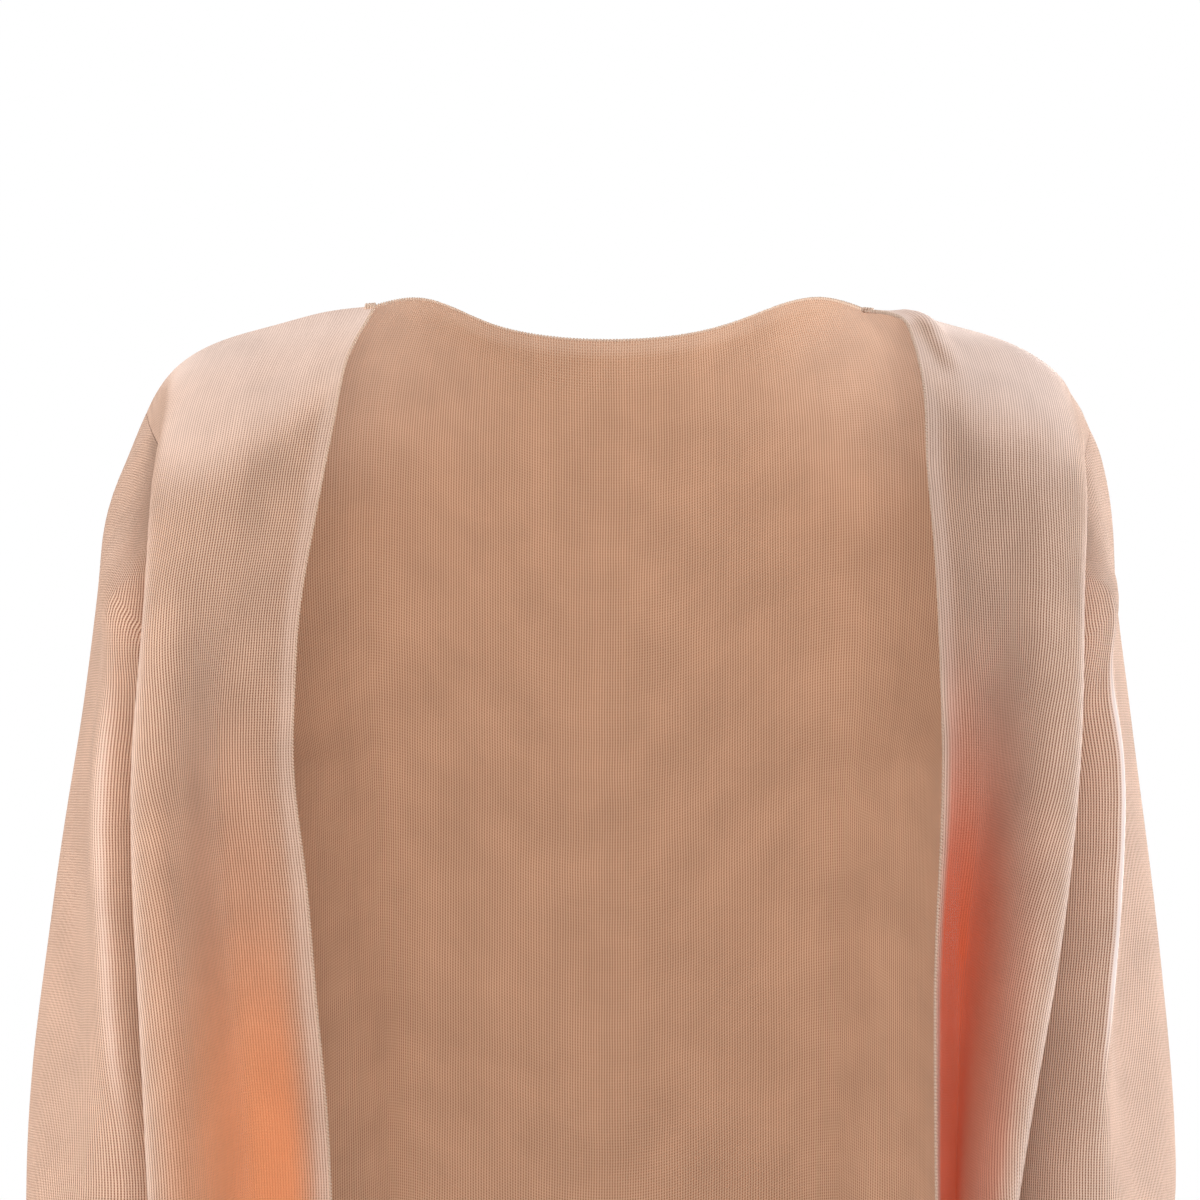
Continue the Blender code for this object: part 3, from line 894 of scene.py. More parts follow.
@dataclass
class KnitPiece:
    """One piece of cloth as a grid, with what its finish needs to know.

    Attributes:
        name: the piece's and its CAD node's name.
        grid: rows of points, in millimetres.
        measures: the grid's own measures.
        turned: whether the grid's faces must be turned to point outwards.
        seam_margin: for each point, 0 on a sewn edge and 1 away from it.
        closed: whether each row is a ring.
        warmth: for each point, how much painted glow it takes, for the light that the fold
            around it throws back.
        glow: the colour of that painted glow.
        shine: how much painted highlight its crest and creases carry.
        finished_edges: lines of points along the edges that aren't sewn.
    """

    name: str
    grid: Points
    measures: Measures
    turned: bool
    seam_margin: Points
    closed: bool = False
    warmth: Points | float = 0.0
    glow: tuple[float, float, float] = (1.0, 1.0, 1.0)
    shine: Points | float = 0.0
    finished_edges: list[Points] = field(default_factory=list)

    def outward(self) -> Points:
        """A unit normal for each point, away from the wearer."""
        found = normals(self.grid, self.closed)
        return -found if self.turned else found

    def crease(self, creases: list[Crease]) -> None:
        """Press faint creases and unevenness into the cloth, away from its sewn edges.

        Args:
            creases: the creases.
        """
        columns = self.grid.shape[1]
        across = self.measures.across[:, :columns]
        down = self.measures.down[:, :columns]
        rise = np.zeros_like(across)
        for line in creases:
            way = np.array([line.end_across - line.start_across, line.end_down - line.start_down])
            size = np.linalg.norm(way)
            way = way / size
            from_start = np.stack([across - line.start_across, down - line.start_down], axis=-1)
            along = from_start @ way
            aside = from_start[..., 0] * way[1] - from_start[..., 1] * way[0]
            share = along / size
            start = smooth_step(-CREASE_END, CREASE_END, share)
            end = smooth_step(1 + CREASE_END, 1 - CREASE_END, share)
            near = np.exp(-((aside / line.width) ** 2)) * start * end
            rise += line.rise * near
            # A crease's shine is a painted highlight along it.
            self.shine = np.maximum(self.shine, line.shine * near**SHINE_POWER)
        for i in range(rise.shape[0]):
            for j in range(columns):
                place = (across[i, j] / UNEVEN_ACROSS, down[i, j] / UNEVEN_DOWN, UNEVEN_DRAW)
                rise[i, j] += UNEVEN_RISE * noise.noise(Vector(place))
        self.grid = self.grid + self.outward() * (rise * self.seam_margin)[..., None]

    def distance_to_edges(self) -> Points:
        """Measure how far each point is from the nearest edge that isn't sewn.

        Returns:
            A distance for each point, in millimetres.
        """
        points = self.grid.reshape(-1, 3)
        nearest = np.full(len(points), np.inf)
        for edge in self.finished_edges:
            for place in edge:
                nearest = np.minimum(nearest, np.linalg.norm(points - place, axis=1))
        return nearest.reshape(self.grid.shape[:2])

    def build(self, face: bpy.types.Material, inside: bpy.types.Material) -> bpy.types.Object:
        """Make the piece's mesh: a thin closed wall with the knit's UV map.

        Args:
            face: the outer side's material.
            inside: the inner side's material.

        Returns:
            The piece's object.
        """
        rows, columns = self.grid.shape[:2]
        spans = columns if self.closed else columns - 1
        row, column = (places.ravel() for places in np.mgrid[0 : rows - 1, 0:spans])
        corners = [(row, column), (row + 1, column), (row + 1, column + 1), (row, column + 1)]
        if self.turned:
            corners.reverse()
        faces = np.stack([i * columns + j % columns for i, j in corners], axis=1)
        places = np.stack(
            [(self.measures.across[i, j], -self.measures.down[i, j]) for i, j in corners]
        ).transpose(2, 0, 1)

        mesh = bpy.data.meshes.new(self.name)
        mesh.from_pydata(self.grid.reshape(-1, 3) * MM, [], faces.tolist())
        mesh.uv_layers.new(name=KNIT_MAP).uv.foreach_set("vector", (places * MM).ravel())
        # Painted highlight: paler where the cloth faces up, and along the crest and creases.
        lit = np.maximum(smooth_step(LIT_FROM, LIT_FULL, self.outward()[:, :, 2]), self.shine)
        warmth = np.broadcast_to(self.warmth, lit.shape)
        # The painted glow's and painted highlight's masks, and each point's distance to the edges.
        for label, values in (
            (PAINTED_GLOW, warmth),
            (LIT, lit),
            (TO_EDGE, self.distance_to_edges() * MM),
        ):
            layer = mesh.attributes.new(label, "FLOAT", "POINT")
            layer.data.foreach_set("value", values.astype(np.float32).ravel())
        layer = mesh.attributes.new(GLOW, "FLOAT_COLOR", "POINT")
        layer.data.foreach_set("color", np.tile((*self.glow, 1.0), lit.size))
        mesh.materials.append(face)
        mesh.materials.append(inside)

        cloth = put_in_scene(self.name, mesh)
        wall = cloth.modifiers.new("cloth wall", "SOLIDIFY")
        wall.thickness = WALL * MM
        wall.offset = 0.0
        wall.use_rim = True
        wall.material_offset = 1
        plain = plain_copy(cloth)
        plain.data.shade_smooth()
        plain.data.set_sharp_from_angle(angle=RIM_ANGLE)
        return plain


def put_in_scene(name: str, data: bpy.types.ID) -> bpy.types.Object:
    """Put a new object into the scene.

    Args:
        name: its name.
        data: its mesh, light or camera.

    Returns:
        The object.
    """
    thing = bpy.data.objects.new(name, data)
    bpy.context.scene.collection.objects.link(thing)
    return thing


def plain_copy(worked: bpy.types.Object) -> bpy.types.Object:
    """Turn an object's evaluated shape into a plain mesh and remove the object.

    Args:
        worked: an object with live modifiers.

    Returns:
        A new object of the same name, with no modifier.
    """
    name = worked.name
    shape = bpy.data.meshes.new_from_object(
        worked.evaluated_get(bpy.context.evaluated_depsgraph_get())
    )
    bpy.data.objects.remove(worked)
    shape.name = name
    return put_in_scene(name, shape)


@dataclass
class YarnLine:
    """A line that yarn links follow: a seam, an edge that isn't sewn or a knot.

    Attributes:
        name: the name of its chain of links.
        owner: the piece that carries the chain.
        points: its points, in millimetres.
        facing: the way outwards at each of them.
        closed: whether the line is a ring.
    """

    name: str
    owner: str
    points: Points
    facing: Points
    closed: bool = False


@dataclass
class Bolero:
    """The bolero's cloth: the five pieces and the seams between them.

    Attributes:
        seam_reach: how far from a sewn edge the cloth is drawn smooth by it.
        pieces: the cloth pieces, once cut.
        seams: the sewn lines, once cut.
    """

    seam_reach: float = 12.0
    pieces: dict[str, KnitPiece] = field(default_factory=dict)
    seams: list[YarnLine] = field(default_factory=list)

    def cut(self) -> None:
        """Cut the pieces, note their seams and part them there."""
        fronts = {
            side: Front(side, SHOULDERS[side], FRONT_SECTIONS[side]).grid() for side in Side
        }
        back = Back(fronts[Side.RIGHT], fronts[Side.LEFT]).grid()
        sleeves = {}
        for side in Side:
            edge = 0 if side is Side.RIGHT else -1
            hole = back[: YOKE_ROWS + 1, edge]
            sleeves[side] = Sleeve(side, fronts[side], hole, RIDGES[side]).grid()
        self.note_seams(fronts, sleeves)
        self.part(fronts, back, sleeves)
        for side in Side:
            self.add_front(side, fronts[side])
        self.add_back(back)
        for side in Side:
            self.add_sleeve(side, sleeves[side])

    def note_seams(self, fronts: dict[Side, Points], sleeves: dict[Side, Points]) -> None:
        """Keep the lines that the pieces share.

        Args:
            fronts: the fronts' points, with the side and shoulder seams.
            sleeves: the sleeves' points, with the armhole and underarm seams.
        """
        below = slice(YOKE_ROWS, None)
        for side in Side:
            front, sleeve = fronts[side], sleeves[side]
            from_trunk = normals(front) * side.value
            from_arm = normals(sleeve, closed=True) * side.value
            for kind, owner, line, facing in (
                ("shoulder", "front", front[0], from_trunk[0]),
                ("side", "front", front[below, -1], from_trunk[below, -1]),
                ("armhole", "sleeve", sleeve[0], from_arm[0]),
                ("underarm", "sleeve", sleeve[:, 0], from_arm[:, 0]),
            ):
                hand = "_" + side.name.lower()
                name = kind + "_seam" + hand
                self.seams.append(YarnLine(name, owner + hand, line, facing, kind == "armhole"))

    @staticmethod
    def setbacks(line: Points, inside: Points, beyond: Points) -> tuple[Points, Points]:
        """Find how far two pieces draw back from their seam, so that the walls stay clear.

        Args:
            line: the seam.
            inside: the first piece's points beside it.
            beyond: the second piece's points beside it.

        Returns:
            The two pieces' moves, a vector for each point of the seam.
        """
        tangent = unit(np.gradient(line, axis=0))
        ways = []
        for near in (inside, beyond):
            way = near - line
            way = way - (way * tangent).sum(axis=1, keepdims=True) * tangent
            ways.append(unit(way))
        turn = np.arccos(np.clip(-(ways[0] * ways[1]).sum(axis=1), -1, 1))
        room = SEAM_GAP / 2 + WALL / 2 * np.tan(np.minimum(turn, SHARPEST_TURN) / 2)
        return ways[0] * room[:, None], ways[1] * room[:, None]

    def part(
        self, fronts: dict[Side, Points], back: Points, sleeves: dict[Side, Points]
    ) -> None:
        """Draw the pieces back from their seams.

        Args:
            fronts: the fronts' points, which are moved.
            back: the back's points, which are moved.
            sleeves: the sleeves' points, which are moved.
        """
        count = sum(FRONT_STEPS)
        side_rows = slice(YOKE_ROWS, None)
        hole_rows = slice(0, YOKE_ROWS + 1)
        front_hole = np.arange(YOKE_ROWS, -1, -1)
        moves = []
        for side in Side:
            front, sleeve = fronts[side], sleeves[side]
            edge, beside = (0, 1) if side is Side.RIGHT else (-1, -2)
            if side is Side.RIGHT:
                shoulder = slice(count, None, -1)
            else:
                shoulder = slice(back.shape[1] - 1 - count, None)
            back_hole = np.arange(YOKE_ROWS, 2 * YOKE_ROWS + 1) % sleeve.shape[1]

            own, other = self.setbacks(front[0], front[1], back[1][shoulder])
            moves += [(front, (0, slice(None)), own), (back, (0, shoulder), other)]
            own, other = self.setbacks(
                front[side_rows, -1], front[side_rows, -2], back[side_rows, beside]
            )
            moves += [(front, (side_rows, -1), own), (back, (side_rows, edge), other)]
            own, first = self.setbacks(
                front[hole_rows, -1], front[hole_rows, -2], sleeve[1][front_hole]
            )
            moves.append((front, (hole_rows, -1), own))
            other, second = self.setbacks(
                back[hole_rows, edge], back[hole_rows, beside], sleeve[1][back_hole]
            )
            moves.append((back, (hole_rows, edge), other))
            ring = np.zeros_like(sleeve[0])
            ring[back_hole] = second
            ring[front_hole] = first
            moves.append((sleeve, 0, ring))
        for grid, where, move in moves:
            grid[where] += move

    def margin(self, sewn: Sequence[Points]) -> Points:
        """Fade from sewn edges, from 0 at the nearest one to 1 inside the cloth.

        Args:
            sewn: each point's distance to each sewn edge, in millimetres.

        Returns:
            A value for each point.
        """
        return smooth_step(0, self.seam_reach, np.minimum.reduce(list(sewn)))

    def add_front(self, side: Side, grid: Points) -> None:
        """Keep a front as a piece of knit.

        Args:
            side: the wearer's side.
            grid: its points.
        """
        measures = Measures.of_sheet(grid, 0)
        to_side = measures.across[:, -1:] - measures.across
        # The painted glow: in from the free edge, low in the trough, fainter on the fold's slope.
        glow = GLOWS[side]
        from_edge = smooth_step(0, glow.rise, measures.across)
        slope = smooth_step(1, SLOPE_SHARE, np.arange(grid.shape[1]) / FRONT_CREST)
        middle = slope * smooth_step(glow.end_out, glow.full_out, np.abs(grid[:, :, 0]))
        lower = smooth_step(glow.start_up, glow.full_up, grid[:, :, 2])
        middle = glow.strength * middle * lower
        slope = glow.halo * slope * smooth_step(HALO_START_UP, HALO_FULL_UP, grid[:, :, 2])
        warmth = from_edge * np.maximum(middle, slope)
        piece = KnitPiece(
            name="front_" + side.name.lower(),
            grid=grid,
            measures=measures,
            turned=side is Side.RIGHT,
            seam_margin=self.margin([measures.down, to_side]),
            warmth=warmth,
            glow=glow.colour,
        )
        # A painted highlight along the fold's crest.
        from_crest = measures.across - measures.across[:, FRONT_CREST : FRONT_CREST + 1]
        hanging = smooth_step(CREST_START_UP, CREST_FULL_UP, grid[:, :, 2])
        piece.shine = CREST_SHINE * hanging * np.exp(-((from_crest / CREST_WIDTH) ** 2))
        piece.crease(FRONT_CREASES[side])
        piece.finished_edges = [np.concatenate([piece.grid[:, 0], piece.grid[-1, 1:]])]
        self.pieces[piece.name] = piece

    def add_back(self, grid: Points) -> None:
        """Keep the back as a piece of knit.

        Args:
            grid: its points.
        """
        measures = Measures.of_sheet(grid, grid.shape[1] // 2)
        count = sum(FRONT_STEPS)
        to_right = measures.across - measures.across[:, :1]
        to_left = measures.across[:, -1:] - measures.across
        columns = np.arange(grid.shape[1])
        beside_neck = np.minimum(columns - count, grid.shape[1] - 1 - count - columns)
        from_seam = measures.down + np.clip(beside_neck, 0, None) * self.seam_reach / count
        piece = KnitPiece(
            name="back",
            grid=grid,
            measures=measures,
            turned=True,
            seam_margin=self.margin([to_right, to_left, from_seam]),
        )
        piece.crease(BACK_CREASES)
        neck = piece.grid[0, count : grid.shape[1] - count]
        piece.finished_edges = [neck, piece.grid[-1]]
        self.pieces[piece.name] = piece

    def add_sleeve(self, side: Side, grid: Points) -> None:
        """Keep a sleeve as a piece of knit.

        Args:
            side: the wearer's side.
            grid: its points.
        """
        measures = Measures.of_sleeve(grid)
        from_seam = Measures.of_sheet(grid, 0).down
        piece = KnitPiece(
            name="sleeve_" + side.name.lower(),
            grid=grid,
            measures=measures,
            turned=side is Side.RIGHT,
            seam_margin=self.margin([from_seam]),
            closed=True,
        )
        piece.crease(SLEEVE_CREASES[side])
        piece.finished_edges = [piece.grid[-1]]
        self.pieces[piece.name] = piece


class Tree:
    """Adds nodes to a node tree and joins them."""

    def __init__(self, nodes: bpy.types.NodeTree) -> None:
        """Work on a node tree."""
        self.nodes = nodes

    def add(self, kind: str, settings: dict | None = None, **inputs: object) -> bpy.types.Node:
        """Add a node.

        Args:
            kind: the identifier of the node's type.
            settings: the node's own properties.
            **inputs: what its inputs get, with underscores for spaces.

        Returns:
            The new node.
        """
        node = self.nodes.nodes.new(kind)
        for name, value in (settings or {}).items():
            setattr(node, name, value)
        self.settle(node, **inputs)
        return node

    def settle(self, node: bpy.types.Node, **inputs: object) -> None:
        """Feed a node's inputs, named with underscores for spaces."""
        for name, value in inputs.items():
            self.feed(node.inputs[name.replace("_", " ")], value)

    def feed(self, socket: bpy.types.NodeSocket, value: object) -> None:
        """Join a socket to another one or to a node's first output, or give it a value.

        Args:
            socket: the input that is fed.
            value: a socket, a node or a plain value.
        """
        if isinstance(value, bpy.types.Node):
            value = value.outputs[0]
        if isinstance(value, bpy.types.NodeSocket):
            self.nodes.links.new(value, socket)
        else:
            socket.default_value = value

    def math(self, operation: str, *values: object) -> bpy.types.NodeSocket:
        """Add a sum of one, two or three values.

        Args:
            operation: the identifier of the sum.
            *values: numbers or sockets.

        Returns:
            The result's socket.
        """
        node = self.add("ShaderNodeMath", {"operation": operation})
        for socket, value in zip(node.inputs, values):
            self.feed(socket, value)
        return node.outputs[0]

    def ease(
        self, value: object, low: object, high: object, start: object = 0.0, end: object = 1.0
    ) -> bpy.types.NodeSocket:
        """Bring a value from one range to another, softly.

        Args:
            value: the value's socket.
            low: where the first range starts.
            high: where it ends.
            start: where the second range starts.
            end: where it ends.

        Returns:
            The result's socket.
        """
        settings = {"interpolation_type": "SMOOTHSTEP"}
        node = self.add("ShaderNodeMapRange", settings, Value=value)
        self.settle(node, From_Min=low, From_Max=high, To_Min=start, To_Max=end)
        return node.outputs["Result"]

    def blend(self, share: object, first: object, second: object) -> bpy.types.NodeSocket:
        """Mix two colours.

        Args:
            share: how much of the second one.
            first: a colour or its socket.
            second: a colour or its socket.

        Returns:
            The mixed colour's socket.
        """
        node = self.add("ShaderNodeMix", {"data_type": "RGBA"}, Factor=share)
        colours = [socket for socket in node.inputs if socket.type == "RGBA"]
        self.feed(colours[0], first)
        self.feed(colours[1], second)
        return next(socket for socket in node.outputs if socket.type == "RGBA")


def new_group(
    name: str, kind: str, inputs: dict[str, str], outputs: dict[str, str]
) -> tuple[Tree, bpy.types.NodeOutputs, bpy.types.Node]:
    """Start a node group.

    Args:
        name: its name.
        kind: the identifier of the tree's type.
        inputs: the kind of each input.
        outputs: the kind of each output.

    Returns:
        Its tree, the sockets that give its inputs and the node that takes its outputs.
    """
    group = bpy.data.node_groups.new(name, kind)
    for way, sockets in (("INPUT", inputs), ("OUTPUT", outputs)):
        for label, sort in sockets.items():
            group.interface.new_socket(label, in_out=way, socket_type="NodeSocket" + sort)
    given = group.nodes.new("NodeGroupInput").outputs
    return Tree(group), given, group.nodes.new("NodeGroupOutput")


def new_material(name: str) -> tuple[bpy.types.Material, Tree, bpy.types.Node]:
    """Start a material.

    Args:
        name: its name.

    Returns:
        The material, its tree and its shader.
    """
    material = bpy.data.materials.new(name)
    material.use_nodes = True
    return material, Tree(material.node_tree), material.node_tree.nodes["Principled BSDF"]


@dataclass(frozen=True)
class Fibre:
    """How fibres catch light.

    Attributes:
        roughness: how rough they are.
        sheen: how much the loose ones shine.
        sheen_roughness: how wide that shine spreads.
        sheen_tint: its colour.
        specular: how much the spun ones shine.
    """

    roughness: float = 0.9
    sheen: float = 0.25
    sheen_roughness: float = 0.35
    sheen_tint: Colour = (1.0, 0.90, 0.82, 1.0)
    specular: float = 0.25

    def dress(self, tree: Tree, shader: bpy.types.Node) -> None:
        """Give a shader these values.

        Args:
            tree: the tree that the shader is in.
            shader: the shader.
        """
        tree.settle(
            shader,
            Roughness=self.roughness,
            Specular_IOR_Level=self.specular,
            Sheen_Weight=self.sheen,
            Sheen_Roughness=self.sheen_roughness,
            Sheen_Tint=self.sheen_tint,
        )


class Stitch(Enum):
    """The two sides of the knit: V stitches outside, purl bumps inside."""

    PLAIN = "plain stitches"
    PURL = "purl stitches"


@dataclass(frozen=True)
class StitchGroup:
    """The shader group that draws stitches from a UV map in metres.

    Attributes:
        stitch: which side of the knit it draws.
        wobble_size: size of the wales' slow wander.
        wobble: how far they wander.
        rise: how far a stitch's legs climb across half a wale.
        bow: how far a purl bump bends across a wale.
        groove: where the groove between wales starts and is deepest, across half a wale.
        groove_dots: how much of the groove is broken by the rows, and how much isn't.
        crown: how square a wale is.
        leg: how much of its height follows the rows, and how much doesn't.
        split: how wide and how deep the line between a stitch's two legs is.
        bump: how high a purl bump stands over the groove beside it.
        dip: how deep that groove is.
        fuzz_size: size of the yarn's loose fibres.
        fuzz: how high they stand.
        wale_tone: how much the wales differ in tone.
        fuzz_tone: how much the fibres do.
    """

    stitch: Stitch
    wobble_size: float = 0.03
    wobble: float = 0.0011
    rise: float = 0.9
    bow: float = 0.22
    groove: tuple[float, float] = (0.35, 0.68)
    groove_dots: tuple[float, float] = (0.85, 0.35)
    crown: float = 2.6
    leg: tuple[float, float] = (0.45, 0.55)
    split: tuple[float, float] = (0.22, 0.14)
    bump: float = 0.75
    dip: float = 0.25
    fuzz_size: float = 0.0005
    fuzz: float = 0.22
    wale_tone: float = 0.12
    fuzz_tone: float = 0.3

    @staticmethod
    def noise(
        tree: Tree, given: bpy.types.NodeOutputs, size: float, detail: float
    ) -> bpy.types.Node:
        """Add noise of a size in metres."""
        return tree.add("ShaderNodeTexNoise", Vector=given["Map"], Scale=1 / size, Detail=detail)

    def build(self) -> bpy.types.NodeTree:
        """Build the group.

        Returns:
            Its tree, with Height, Groove, Row and Tone outputs.
        """
        tree, given, result = new_group(
            self.stitch.value,
            "ShaderNodeTree",
            {"Map": "Vector", "Wale": "Float", "Course": "Float"},
            dict.fromkeys(("Height", "Groove", "Row", "Tone"), "Float"),
        )
        place = tree.add("ShaderNodeSeparateXYZ", Vector=given["Map"])
        wander = self.noise(tree, given, self.wobble_size, 1.0)
        aside = tree.math("MULTIPLY", tree.math("SUBTRACT", wander, 0.5), self.wobble)
        wales = tree.math("DIVIDE", tree.math("ADD", place.outputs["X"], aside), given["Wale"])
        courses = tree.math("DIVIDE", place.outputs["Y"], given["Course"])
        centred = tree.math("SUBTRACT", tree.math("FRACT", wales), 0.5)
        off = tree.math("MULTIPLY", tree.math("ABSOLUTE", centred), 2.0)
        fuzz = self.noise(tree, given, self.fuzz_size, 2.0)

        if self.stitch is Stitch.PLAIN:
            turn = tree.math("MULTIPLY_ADD", off, self.rise, courses)
        else:
            bow = tree.math("COSINE", tree.math("MULTIPLY", wales, math.tau))
            turn = tree.math("MULTIPLY_ADD", bow, self.bow, courses)
        row = tree.math(
            "MULTIPLY_ADD", tree.math("SINE", tree.math("MULTIPLY", turn, math.tau)), 0.5, 0.5
        )
        # A finish paints shade between the wales by this groove mask; the purl's dip follows it
        # too.
        groove = tree.ease(off, *self.groove)
        dots = tree.math("MULTIPLY_ADD", tree.math("SUBTRACT", 1.0, row), *self.groove_dots)
        groove = tree.math("MULTIPLY", groove, dots)
        if self.stitch is Stitch.PLAIN:
            ridge = tree.math("SUBTRACT", 1.0, tree.math("POWER", off, self.crown))
            leg = tree.math("MULTIPLY_ADD", row, *self.leg)
            split = tree.ease(off, self.split[0], 0.0, 0.0, self.split[1])
            body = tree.math("SUBTRACT", tree.math("MULTIPLY", ridge, leg), split)
        else:
            dip = tree.math("MULTIPLY", groove, -self.dip)
            body = tree.math("MULTIPLY_ADD", row, self.bump, dip)
        height = tree.math("MULTIPLY_ADD", fuzz, self.fuzz, body)

        number = tree.add("ShaderNodeTexWhiteNoise", {"noise_dimensions": "1D"})
        tree.feed(number.inputs["W"], tree.math("FLOOR", wales))
        cloud = self.noise(tree, given, self.wobble_size, 3.0)
        tone = tree.math("MULTIPLY_ADD", number, self.wale_tone, cloud)
        tone = tree.math("MULTIPLY_ADD", fuzz, self.fuzz_tone, tone)
        tree.settle(result, Height=height, Groove=groove, Row=row, Tone=tone)
        return tree.nodes


@dataclass(frozen=True)
class KnitFinish:
    """A side of the knit.

    Attributes:
        name: the material's name.
        group: the stitches that it shows.
        base: the yarn's colour.
        deep: its painted shade between the stitches.
        lit: its painted highlight colour, where it rises towards the light.
        wale: the distance between wales.
        course: the distance between courses.
        border_width: how wide the smoother border is.
        border_full: the share of that width in which it is full.
        border_lit: how much of the painted highlight colour the border has.
        border_flat: how much flatter its stitches are.
        lit_share: how much of the painted highlight colour there is at most.
        losses: what share of the grooves' painted shade is lost in the border, the painted glow
            and the painted highlight.
        glow_dark: how dark the grooves' painted shade is in the painted glow.
        glow_power: how fast the fold's painted glow fades in the light that it gives off.
        tone_range: what the stitches' tone runs between.
        tones: the darkest and lightest tone of the yarn.
        strengths: how strong the stitches' relief is, away from the light and in it.
        depth: how high the stitches stand.
        glow_share: how much of the fold's painted glow it takes.
        glow_strength: how strongly that painted glow adds light of its own to the light on it.
        fibre: how its fibres catch light.
    """

    name: str
    group: bpy.types.NodeTree
    base: Colour
    deep: Colour
    lit: Colour
    wale: float = 0.0012
    course: float = 0.00115
    border_width: float = 0.010
    border_full: float = 0.3
    border_lit: float = 0.5
    border_flat: float = 0.35
    lit_share: float = 0.65
    losses: tuple[float, float, float] = (0.3, 0.5, 0.6)
    glow_dark: float = 0.3
    glow_power: float = 2.0
    tone_range: tuple[float, float] = (0.3, 1.1)
    tones: tuple[float, float] = (0.9, 1.08)
    strengths: tuple[float, float] = (0.85, 0.15)
    depth: float = 0.00055
    glow_share: float = 1.0
    glow_strength: float = 0.25
    fibre: Fibre = Fibre()

    def make(self) -> bpy.types.Material:
        """Build the material.

        Returns:
            The material.
        """
        material, tree, shader = new_material(self.name)
        place = tree.add("ShaderNodeUVMap", {"uv_map": KNIT_MAP})
        knit = tree.add("ShaderNodeGroup", {"node_tree": self.group})
        tree.settle(knit, Map=place, Wale=self.wale, Course=self.course)
        warmth, lit, glow, to_edge = (
            tree.add("ShaderNodeAttribute", {"attribute_name": label}).outputs[output]
            for label, output in ((PAINTED_GLOW, "Fac"), (LIT, "Fac"), (GLOW, "Color"), (TO_EDGE, "Fac"))
        )
        warmth = tree.math("MULTIPLY", warmth, self.glow_share)
        border = tree.ease(to_edge, self.border_width, self.border_full * self.border_width)

        # Painted highlight: the lit mask and the border pale the yarn towards the lit colour.
        pale = tree.math("MAXIMUM", lit, tree.math("MULTIPLY", border, self.border_lit))
        yarn = tree.blend(tree.math("MULTIPLY", pale, self.lit_share), self.base, self.lit)
        # Painted glow: the light that the fold throws back, as colour.
        yarn = tree.blend(warmth, yarn, glow)
        # Painted shade between the stitches; less of it in the border, glow and highlight.
        shade = knit.outputs["Groove"]
        for mask, loss in zip((border, warmth, lit), self.losses):
            left_over = tree.math("MULTIPLY_ADD", mask, -loss, 1.0)
            shade = tree.math("MULTIPLY", shade, left_over)
        # In the painted glow, the grooves' painted shade takes the glow's colour, darkened.
        deep = tree.blend(warmth, self.deep, tree.blend(self.glow_dark, glow, BLACK))
        yarn = tree.blend(shade, yarn, deep)
        tone = tree.ease(knit.outputs["Tone"], *self.tone_range, *self.tones)
        colour = tree.add("ShaderNodeHueSaturation", Color=yarn, Value=tone)
        # The painted glow also gives off light of its own where it is full.
        share = tree.math("POWER", warmth, self.glow_power)
        bump = tree.add("ShaderNodeBump", Height=knit.outputs["Height"], Distance=self.depth)
        flat = tree.math("MAXIMUM", tree.math("MULTIPLY", border, self.border_flat), lit)
        tree.settle(bump, Strength=tree.ease(flat, 0.0, 1.0, *self.strengths))
        tree.settle(
            shader,
            Base_Color=colour,
            Emission_Color=tree.blend(share, BLACK, glow),
            Emission_Strength=self.glow_strength,
            Normal=bump,
        )
        self.fibre.dress(tree, shader)
        return material


@dataclass(frozen=True)
class YarnFinish:
    """The yarn of a chain: two plies twisted round each other.

    Attributes:
        name: the material's name.
        light: the colour of its plies.
        dark: the colour of the painted shade between them, and of darker fibres.
        twist: the distance between two turns.
        ply: how many plies pass in that distance, how crooked and how frayed they are.
        shares: how much of the pattern the plies and the fibres have.
        relief: how high the plies stand, and how strongly that shows.
        fibre: how its fibres catch light.
    """

    name: str
    light: Colour
    dark: Colour
    twist: float = 0.0007
    ply: tuple[float, float, float] = (0.3, 3.0, 1.0)
    shares: tuple[float, float] = (0.6, 0.4)
    relief: tuple[float, float] = (0.0002, 0.5)
    fibre: Fibre = Fibre(
        roughness=0.85, sheen=0.2, sheen_roughness=0.45, sheen_tint=(1.0, 0.94, 0.9, 1.0)
    )

    def make(self) -> bpy.types.Material:
        """Build the material.

        Returns:
            The material.
        """
        material, tree, shader = new_material(self.name)
        place = tree.add("ShaderNodeTexCoord").outputs["Object"]
        count, crooked, frayed = self.ply
        ply = tree.add("ShaderNodeTexWave", Vector=place, Scale=count / self.twist)
        tree.settle(ply, Distortion=crooked, Detail=frayed)
        fibre = tree.add("ShaderNodeTexNoise", Vector=place, Scale=1 / self.twist, Detail=2.0)
        share = tree.math("MULTIPLY", ply.outputs["Fac"], self.shares[0])
        share = tree.math("MULTIPLY_ADD", fibre, self.shares[1], share)
        height, strength = self.relief
        bump = tree.add("ShaderNodeBump", Height=share, Distance=height, Strength=strength)
        # The dark colour is painted shade where the plies' pattern is low, mixed with fibre tone.
        tree.settle(shader, Base_Color=tree.blend(share, self.dark, self.light), Normal=bump)
        self.fibre.dress(tree, shader)
        return material


@dataclass(frozen=True)
class Thread:
    """A yarn and the node group that strings its links.

    Attributes:
        links: the group.
        yarn: the links' material.
    """

    links: bpy.types.NodeTree
    yarn: bpy.types.Material


